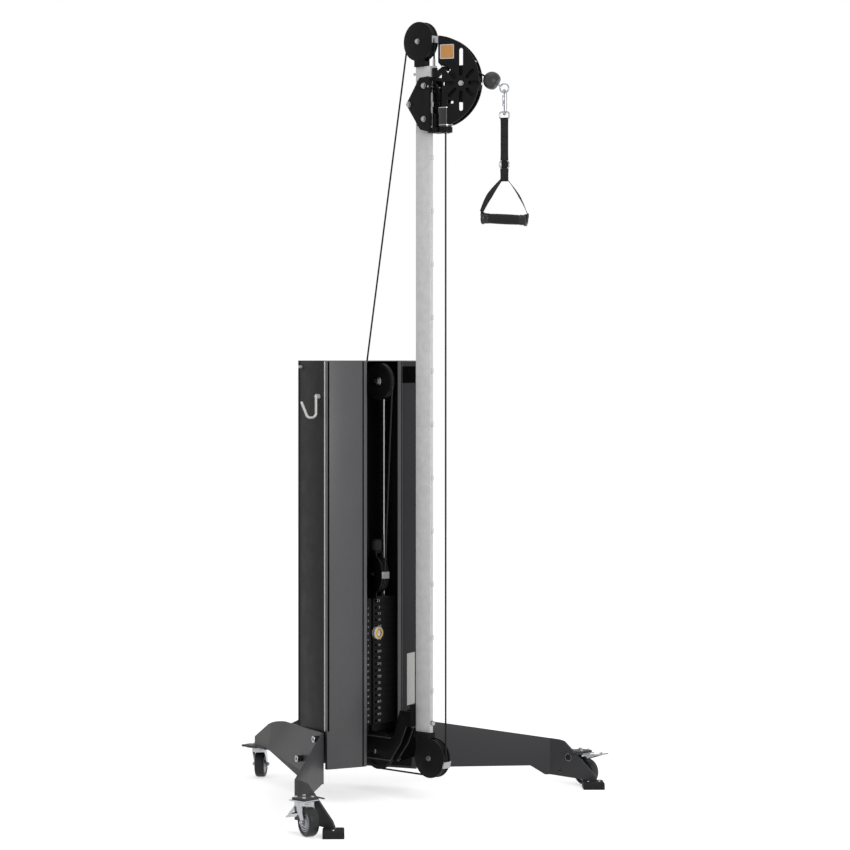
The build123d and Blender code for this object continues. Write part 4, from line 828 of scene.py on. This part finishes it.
class CROSSOVER_OT_handle(bpy.types.Operator):
    """Sews the handle: doubled webbing between its rings, a stitched loop and two arms that carry the grip"""

    bl_idname = "crossover.handle"
    bl_label = "Handle"

    D_BAR = 1997.7
    O_RING, O_RADIUS = 1866.0, 14.4
    BEND, LOOP_BEND, BEND_RISE = 3.0, 1.2, 13.0
    LOOP_LOW = 1815.0
    GRIP, GRIP_TILT, GRIP_HALF = 1708.0, math.radians(-3.5), 67.5
    GRIP_BAND = 18.0
    ARM_START, ARM_END, ARM_BOW = (8.5, 8.0), (3.5, 19.0), 6.0
    # Which side each arm is on, and its turn in degrees where it is sewn, halfway and at the grip
    ARMS = ((-1, (90, 124, 100)), (1, (84, 68, 80)))
    THREAD, THREAD_WAVE = 0.42, 0.35
    CAP_BORE = 9.2
    CAP = ((15.8, 0), (17.3, 1.2), (17.5, 3), (17.5, 6), (16.6, 7.6), (15.4, 9), (15.1, 15), (15.3, 20),
           (14.2, 22))

    def tape(self, width, thick):
        """The rounded section of the webbing, width across and thickness deep."""
        w, t = width / 2, thick / 2
        return [(-w, 0), (-w + 0.5, -t), (-w / 3, -t), (w / 3, -t), (w - 0.5, -t),
                (w, 0), (w - 0.5, t), (w / 3, t), (-w / 3, t), (-w + 0.5, t)]

    def laid(self, bm, section, side, points, across):
        """Carries a section along points on the handle's plane."""
        swept(bm, section, route([side @ Vector(p) for p in points], side.to_3x3() @ Vector(across)))

    def folded(self, bm, side, width, thick, low, high, low_bend):
        """A band that goes round an upper and a lower bar and lies double between them."""
        gap, rise, middle = thick * 0.62, self.BEND_RISE, (low + high) / 2
        upper, lower = [gap + 0.4 * (bend - gap) for bend in (self.BEND, low_bend)]
        line = [(gap, middle + 8), (gap, high - rise), (upper, high - rise * 0.6)]
        line += arc((0, high), self.BEND, -20, 200, 14) + [(-upper, high - rise * 0.6), (-gap, high - rise)]
        line += [(-gap, high - rise - (high - low - 2 * rise) * i / 10) for i in range(1, 11)]
        line += [(-lower, low + rise * 0.6)] + arc((0, low), low_bend, 160, 380, 14)
        line += [(lower, low + rise * 0.6), (gap, low + rise)]
        line += [(gap, low + rise + (middle + 10 - low - rise) * i / 6) for i in range(1, 7)]
        self.laid(bm, self.tape(width, thick), side, [(0, z, w) for w, z in line], (1, 0, 0))

    def stitches(self, bm, side, width, low, high, out):
        """Rows of thread across the band, as one zigzag on its face."""
        line = []
        for i in range(5):
            start, z = width / 2 * (-1) ** i, low + (high - low) * i / 4
            line += [(start - 2 * start * k / 8, z - self.THREAD_WAVE * (-1) ** k, out) for k in range(9)]
        self.laid(bm, round_section(self.THREAD, 6), side, line, (0, 0, 1))

    def arm(self, bm, side, out, turns, reach, width, thick):
        """One arm of the loop, bowed outwards, which turns on itself from the sewn end to the grip."""
        start = Vector((out * self.ARM_START[0], self.LOOP_LOW + self.ARM_START[1]))
        run = Vector((out * (reach * math.cos(self.GRIP_TILT) + self.ARM_END[0]),
                      self.GRIP + out * reach * math.sin(self.GRIP_TILT) + self.ARM_END[1])) - start
        first, middle, last = turns
        bow, places = self.ARM_BOW * out, []
        for i in range(31):
            t = i / 30
            ahead = Vector((run.x + math.cos(math.pi * t) * math.pi * bow, run.y, 0)).normalized()
            near = 1 - abs(2 * t - 1)
            turn = math.radians((first if t < 0.5 else last) * (1 - near) + middle * near)
            flat = Vector((-ahead.y, ahead.x, 0))
            across = flat * math.cos(turn) + Vector((0, 0, 1)) * math.sin(turn)
            spot = (start.x + run.x * t + bow * math.sin(math.pi * t), start.y + run.y * t, 0)
            places.append(side @ station(spot, ahead, across))
        swept(bm, self.tape(width, thick), places)

    def webbing(self, side, grip_plane, width, thick):
        """The bands, the loop's arms, the short band behind the ring and the run through the grip."""
        ring_high, ring_low = self.O_RING + self.O_RADIUS, self.O_RING - self.O_RADIUS
        reach = self.GRIP_HALF - 2.5
        bm = bmesh.new()
        self.folded(bm, side, width, thick, ring_high, self.D_BAR, self.BEND)
        self.folded(bm, side, width + 1, thick, self.LOOP_LOW + 4, ring_low, self.LOOP_BEND)
        for out, turns in self.ARMS:
            self.arm(bm, side, out, turns, reach, width, thick)
        line = [(0, self.O_RING + rise, -4.0) for rise in (-20, -12, -4, 4, 12, 20)]
        self.laid(bm, self.tape(width - 1, thick), side, line, (1, 0, 0))
        half = [(reach - 5, 0), (reach + 2.5, 1.5), (reach + 4.6, 8), (reach + 4, 20)]
        line = [(-x, y, 0) for x, y in half[::-1]] + [(0, 0, 0)] + [(x, y, 0) for x, y in half]
        self.laid(bm, self.tape(self.GRIP_BAND, thick), grip_plane, line, (0, 0, 1))
        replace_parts(piece(bm, "webbing_strap", "handle", "web", angle=50), "strap")
        bm = bmesh.new()
        for low, high, out in ((ring_high + 21.6, ring_high + 35.6, 0.2),
                               (self.D_BAR - 34, self.D_BAR - 20, 0.2),
                               (self.LOOP_LOW + 6, ring_low - 11, 0.24)):
            self.stitches(bm, side, width - 5, low, high, thick * 1.12 + out)
        piece(bm, "strap_stitches", "handle", "thread", angle=60)

    def execute(self, context):
        sizes = context.scene.crossover_sizes
        side = at(HEAD, pull_point(RING_REACH)[0], 0)
        grip_plane = at(side, 0, self.GRIP) @ Matrix.Rotation(self.GRIP_TILT, 4, "Z")
        self.webbing(side, grip_plane, sizes.band_width * 1000, sizes.band_thickness * 1000)

        grip, half = sizes.grip_radius * 1000, self.GRIP_HALF
        place = grip_plane @ Matrix.Rotation(math.radians(90), 4, "Y")
        profile = [(9.0, -half + 6), (grip - 2.2, -half + 6)]
        for i in range(31):
            z = (-half + 8) + (2 * half - 16) * i / 30
            swell = 1.6 * math.cos(math.pi * z / (2 * half))
            profile.append((grip - 1.4 + swell + (0.25 if i % 2 else 0), z))
        bm = bmesh.new()
        turned(bm, profile + [(grip - 2.2, half - 6), (9.0, half - 6)], place, steps=48, closed=True)
        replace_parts(piece(bm, "grip_tube", "grip", "grip", angle=60), "grip")
        bm = bmesh.new()
        cap = [(self.CAP_BORE, half), *[(r, half - down) for r, down in self.CAP], (self.CAP_BORE, half - 22)]
        for end in both(place):
            turned(bm, cap, end, steps=48, closed=True)
        piece(bm, "grip_caps", "grip", "grip end", angle=40)
        return {"FINISHED"}


# ---- casters, feet and base
TYRE = ((27.2, 11.2), (28.2, 12.8), (30.5, 14.4), (33, 15), (35, 14.9), (37.2, 14.2), (39, 12.4), (39.8, 9.6),
        (WHEEL_RADIUS, 5), (WHEEL_RADIUS, 0))
HUB = ((4.2, 16.6), (9.5, 16.6), (10.6, 16), (11, 14.6), (15.2, 13.6), (16, 12.8), (17.6, 12.8), (18.4, 13.8),
       (21.6, 13.8), (22.4, 12.6), (24, 12.4), (24.6, 13.4), (26.6, 13.2), (27.4, 11))
HUB_SEALS = ((15.6, 18), (22, 24.5))
RACE = ((12, 94.1), (21.6, 94.1), (22.8, 92.6), (23, 90), (22.4, 87.4), (20.6, 86.4), (20.6, 84), (18, 82.6))
SCREW_RISE, SCREW_SIDE = 10.0, 16.0


class CROSSOVER_OT_casters(bpy.types.Operator):
    """Turns the tyres, ringed hubs, swivel races, nuts and mounting screws of the three casters"""

    bl_idname = "crossover.casters"
    bl_label = "Casters"

    def execute(self, context):
        screws = bmesh.new()
        for name, where, lift, yaw, trail in CASTERS:
            post = Matrix.Translation((*where, lift))
            axle = at(post @ Matrix.Rotation(math.radians(yaw), 4, "Z") @ FACING, trail, WHEEL_RADIUS)
            bm = bmesh.new()
            turned(bm, [*TYRE, *[(r, -z) for r, z in TYRE[-2::-1]]], axle, steps=72, closed=True)
            made = piece(bm, name + "_tyre", name + "_wheel", "tyre", angle=40)
            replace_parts(made, name + "_caster_wheel")
            hub, seals, race, nuts = [bmesh.new() for _ in range(4)]
            for place in both(axle):
                turned(hub, HUB, place, steps=56)
                for low, high in HUB_SEALS:
                    turned(seals, ((low, 12.2), (low, 13.3), (high, 13.3), (high, 12.2)), place, steps=56,
                           closed=True)
                slab(nuts, hexagon(6.4), 20.1, 24.2, place, 0.6)
                turned(nuts, ((4, 24.2), (4, 26), (3.2, 26.8), (0, 27)), place, steps=24)
            turned(race, RACE, post, steps=56)
            piece(hub, name + "_hub", name + "_wheel", "hub")
            piece(seals, name + "_hub_seals", name + "_wheel", "nylon")
            piece(race, name + "_race", name + "_fork", "chrome")
            piece(nuts, name + "_axle_nuts", name + "_fork", "steel")
            for dx in (-SCREW_SIDE, SCREW_SIDE):
                for dy in (-SCREW_SIDE, SCREW_SIDE):
                    turned(screws, ((0, 4.4), (3.4, 4), (5.2, 2.2), (5.4, 0), (0, 0)),
                           at(post, dx, dy, FORK_TOP + SCREW_RISE), steps=24)
        piece(screws, "caster_screws", "frame", "steel")
        return {"FINISHED"}


# Places of the fittings: along and up on their plane, or from the foot pad's middle
LEG_BOLTS = ((20, 188), (143, 114))
TIP_BOLTS = ((71, 86, 11.5), (39, 43, 5))
FOOT_SCREWS, FOOT_TOP = ((-14, 9), (13, -12)), 22.0
# Weld beads: start and end along their plane, height on it and distance off it
LEG_WELD, TIP_WELD = ((418, 500), 104.5, 4.0), ((46, 122), 100.0, 4.2)
BEAM_SIDE, BEAM_RUN, BEAM_LEVELS = 21.5, (120, 250), (118, 184)
POST_WELD = ((-24, 34, 225), (24, 34, 225))


class CROSSOVER_OT_base_trim(bpy.types.Operator):
    """Adds the leg bolts' washers, the bolts at the legs' tips, the foot pads' screws and the weld beads"""

    bl_idname = "crossover.base_trim"
    bl_label = "Base trim"

    def bead(self, bm, start, end, radius):
        """A weld bead with its ripples."""
        start, end = Vector(start), Vector(end)
        count = max(6, int((end - start).length / 2.6))
        places = []
        for i, place in enumerate(route([start.lerp(end, i / count) for i in range(count + 1)], (0, 0, 1))):
            size = radius * (0.82 + 0.24 * (i % 2)) * (0.6 if i in (0, count) else 1)
            places.append(place @ Matrix.Diagonal((size, size, 1, 1)))
        swept(bm, round_section(1.0, 8), places)

    def execute(self, context):
        radius = context.scene.crossover_sizes.bead_radius * 1000
        rear, tip = upright(LEG_CORNER, LEG_REAR), upright(LEG_BEND, LEG_TIP)
        washers, core, screws, beads = [bmesh.new() for _ in range(4)]
        for sign, turn in ((1, Matrix()), (-1, MIRROR)):
            for along, up in LEG_BOLTS:
                place = turn @ at(rear, along, up, 3)
                turned(washers, ((5.2, 17.5), (9.6, 17.5), (10.2, 18.2), (9.9, 19.4), (8.6, 19.9),
                                 (6.2, 19.9), (5.2, 19)), place, steps=40, closed=True)
                turned(core, ((0, 17.5), (5.2, 17.5), (5.2, 18.4), (0, 18.5)), place, steps=32)
                turned(core, ((9.2, 0), (9.6, 0.4), (9.6, 16.8), (9.2, 17.4), (5, 17.4)), place, steps=40)
            for along, up, size in TIP_BOLTS:
                turned(core, ((0, 8.6), (size * 0.55, 8.2), (size * 0.9, 6.6), (size, 4.4), (size, 3),
                              (0, 3)), turn @ at(tip, along, up), steps=40)
            for dx, dy in FOOT_SCREWS:
                turned(screws, ((0, 2.4), (2.2, 2.2), (3.9, 1.2), (4.3, 0), (0, 0)),
                       Matrix.Translation((sign * (FOOT_AT[0] + dx), FOOT_AT[1] + dy, FOOT_TOP)), steps=24)
            for plane, (ends, up, out), share in ((rear, LEG_WELD, 1), (tip, TIP_WELD, 0.8)):
                self.bead(beads, *[turn @ at(plane, s, up, out).translation for s in ends], radius * share)
            for z in BEAM_LEVELS:
                self.bead(beads, *[(sign * BEAM_SIDE, y, z) for y in BEAM_RUN], radius * 0.7)
        self.bead(beads, *POST_WELD, radius * 0.8)
        piece(washers, "leg_bolt_washers", "frame", "chrome")
        piece(core, "leg_bolt_bodies", "frame", "slide")
        piece(screws, "foot_screws", "frame", "chrome")
        piece(beads, "weld_beads", "frame", "weld", angle=60)
        return {"FINISHED"}


# ---- stage
FLOOR_HALF, FLOOR_GREY, FLOOR_GLOW = 9.0, 0.72, 0.55
SKY_LIGHT = 0.5
# Name, place, point it looks at, width, height and level of each lamp, in metres
LAMPS = (("Front softbox", (-1.3, -3.3, 1.9), (0, 0, 1.15), 1.3, 1.2, 7.6),
         ("Top softbox", (-0.6, -0.4, 4.6), (0, 0, 1.0), 2.6, 2.6, 0.8))
CAMERA_AT = (-5.551, -5.429, 1.300)
CAMERA_AHEAD = (0.729, 0.6845)
CAMERA_LENS, CAMERA_WIDTH, CAMERA_SHIFT = 110.1, 36.0, -0.0759


class CROSSOVER_OT_stage(bpy.types.Operator):
    """Sets up the floor, the backdrop light, the lamps and the camera"""

    bl_idname = "crossover.stage"
    bl_label = "Stage"

    def seen(self, tree):
        """1 for what the camera, metal and glass see directly, 0 for the light that falls on the object."""
        path = add_node(tree, "LightPath", {})
        total = path["Is Camera Ray"]
        for kind in ("Is Glossy Ray", "Is Transmission Ray"):
            total = add_node(tree, "Math", {0: total, 1: path[kind]}, operation="MAXIMUM")["Value"]
        return total

    def lamp(self, name, where, toward, wide, tall, level):
        """A soft rectangular lamp whose surface has the given level, 1 being as bright as white."""
        light = bpy.data.lights.new(name, "AREA")
        light.shape = "RECTANGLE"
        light.size, light.size_y = wide, tall
        light.energy = level * math.pi * wide * tall
        holder = shown(name, light)
        holder.location = where
        holder.rotation_euler = (Vector(toward) - Vector(where)).to_track_quat("-Z", "Y").to_euler()

    def floor(self):
        """A pale floor that looks white from above and throws soft light back."""
        bm = bmesh.new()
        bmesh.ops.create_grid(bm, x_segments=2, y_segments=2, size=FLOOR_HALF)
        mesh = bpy.data.meshes.new("Floor")
        bm.to_mesh(mesh)
        bm.free()
        floor = shown("Floor", mesh)
        material = bpy.data.materials.new("Floor")
        material.use_nodes = True
        tree = material.node_tree
        shader = tree.nodes["Principled BSDF"]
        feed(tree, shader, {"Base Color": (FLOOR_GREY, FLOOR_GREY, FLOOR_GREY, 1), "Roughness": 0.9,
                            "Specular IOR Level": 0.0})
        glow = add_node(tree, "Emission", {"Strength": FLOOR_GLOW})["Emission"]
        white = add_node(tree, "BsdfDiffuse", {"Color": (1, 1, 1, 1)})["BSDF"]
        lit = add_node(tree, "AddShader", {0: white, 1: glow})["Shader"]
        both_ways = {"Fac": self.seen(tree), 1: shader.outputs["BSDF"], 2: lit}
        choice = add_node(tree, "MixShader", both_ways)["Shader"]
        feed(tree, tree.nodes["Material Output"], {"Surface": choice})
        mesh.materials.append(material)

    def execute(self, context):
        scene = context.scene
        scene.view_settings.view_transform = "Standard"
        world = bpy.data.worlds.new("Studio")
        world.use_nodes = True
        scene.world = world
        tree = world.node_tree
        sky = {"Value": self.seen(tree), "To Min": SKY_LIGHT, "To Max": 1.0}
        strength = add_node(tree, "MapRange", sky)["Result"]
        feed(tree, tree.nodes["Background"], {"Color": (1, 1, 1, 1), "Strength": strength})
        self.floor()
        for lamp in LAMPS:
            self.lamp(*lamp)

        camera = bpy.data.cameras.new("Camera")
        camera.lens = CAMERA_LENS
        camera.sensor_width = CAMERA_WIDTH
        camera.shift_y = CAMERA_SHIFT
        holder = shown("Camera", camera)
        holder.location = CAMERA_AT
        holder.rotation_euler = (math.radians(90), 0, -math.atan2(*CAMERA_AHEAD))
        scene.camera = holder
        return {"FINISHED"}


OPERATORS = (CROSSOVER_OT_stage, CROSSOVER_OT_finishes, CROSSOVER_OT_edges, CROSSOVER_OT_cables,
             CROSSOVER_OT_figures, CROSSOVER_OT_selector, CROSSOVER_OT_panel_trim, CROSSOVER_OT_head_trim,
             CROSSOVER_OT_pulley_trim, CROSSOVER_OT_ball, CROSSOVER_OT_snap_hook, CROSSOVER_OT_handle,
             CROSSOVER_OT_casters, CROSSOVER_OT_base_trim)


class CROSSOVER_PT_panel(bpy.types.Panel):
    """Lists the machine's sizes, colours and pieces."""

    bl_idname = "CROSSOVER_PT_panel"
    bl_label = "Cable crossover"
    bl_space_type = "VIEW_3D"
    bl_region_type = "UI"
    bl_category = "Crossover"

    def draw(self, context):
        column = self.layout.column()
        for group in (context.scene.crossover_sizes, context.scene.crossover_colours):
            for name in group.__annotations__:
                column.prop(group, name)
        for operator in OPERATORS:
            column.operator(operator.bl_idname)


CLASSES = (CrossoverSizes, CrossoverColours, *OPERATORS, CROSSOVER_PT_panel)


def register():
    for cls in CLASSES:
        bpy.utils.register_class(cls)
    bpy.types.Scene.crossover_sizes = PointerProperty(type=CrossoverSizes)
    bpy.types.Scene.crossover_colours = PointerProperty(type=CrossoverColours)


def unregister():
    del bpy.types.Scene.crossover_sizes
    del bpy.types.Scene.crossover_colours
    for cls in reversed(CLASSES):
        bpy.utils.unregister_class(cls)


def main():
    """Builds the whole scene, one operator after another."""
    register()
    for operator in OPERATORS:
        getattr(bpy.ops.crossover, operator.bl_idname.split(".")[1])()


if __name__ == "__main__":
    main()
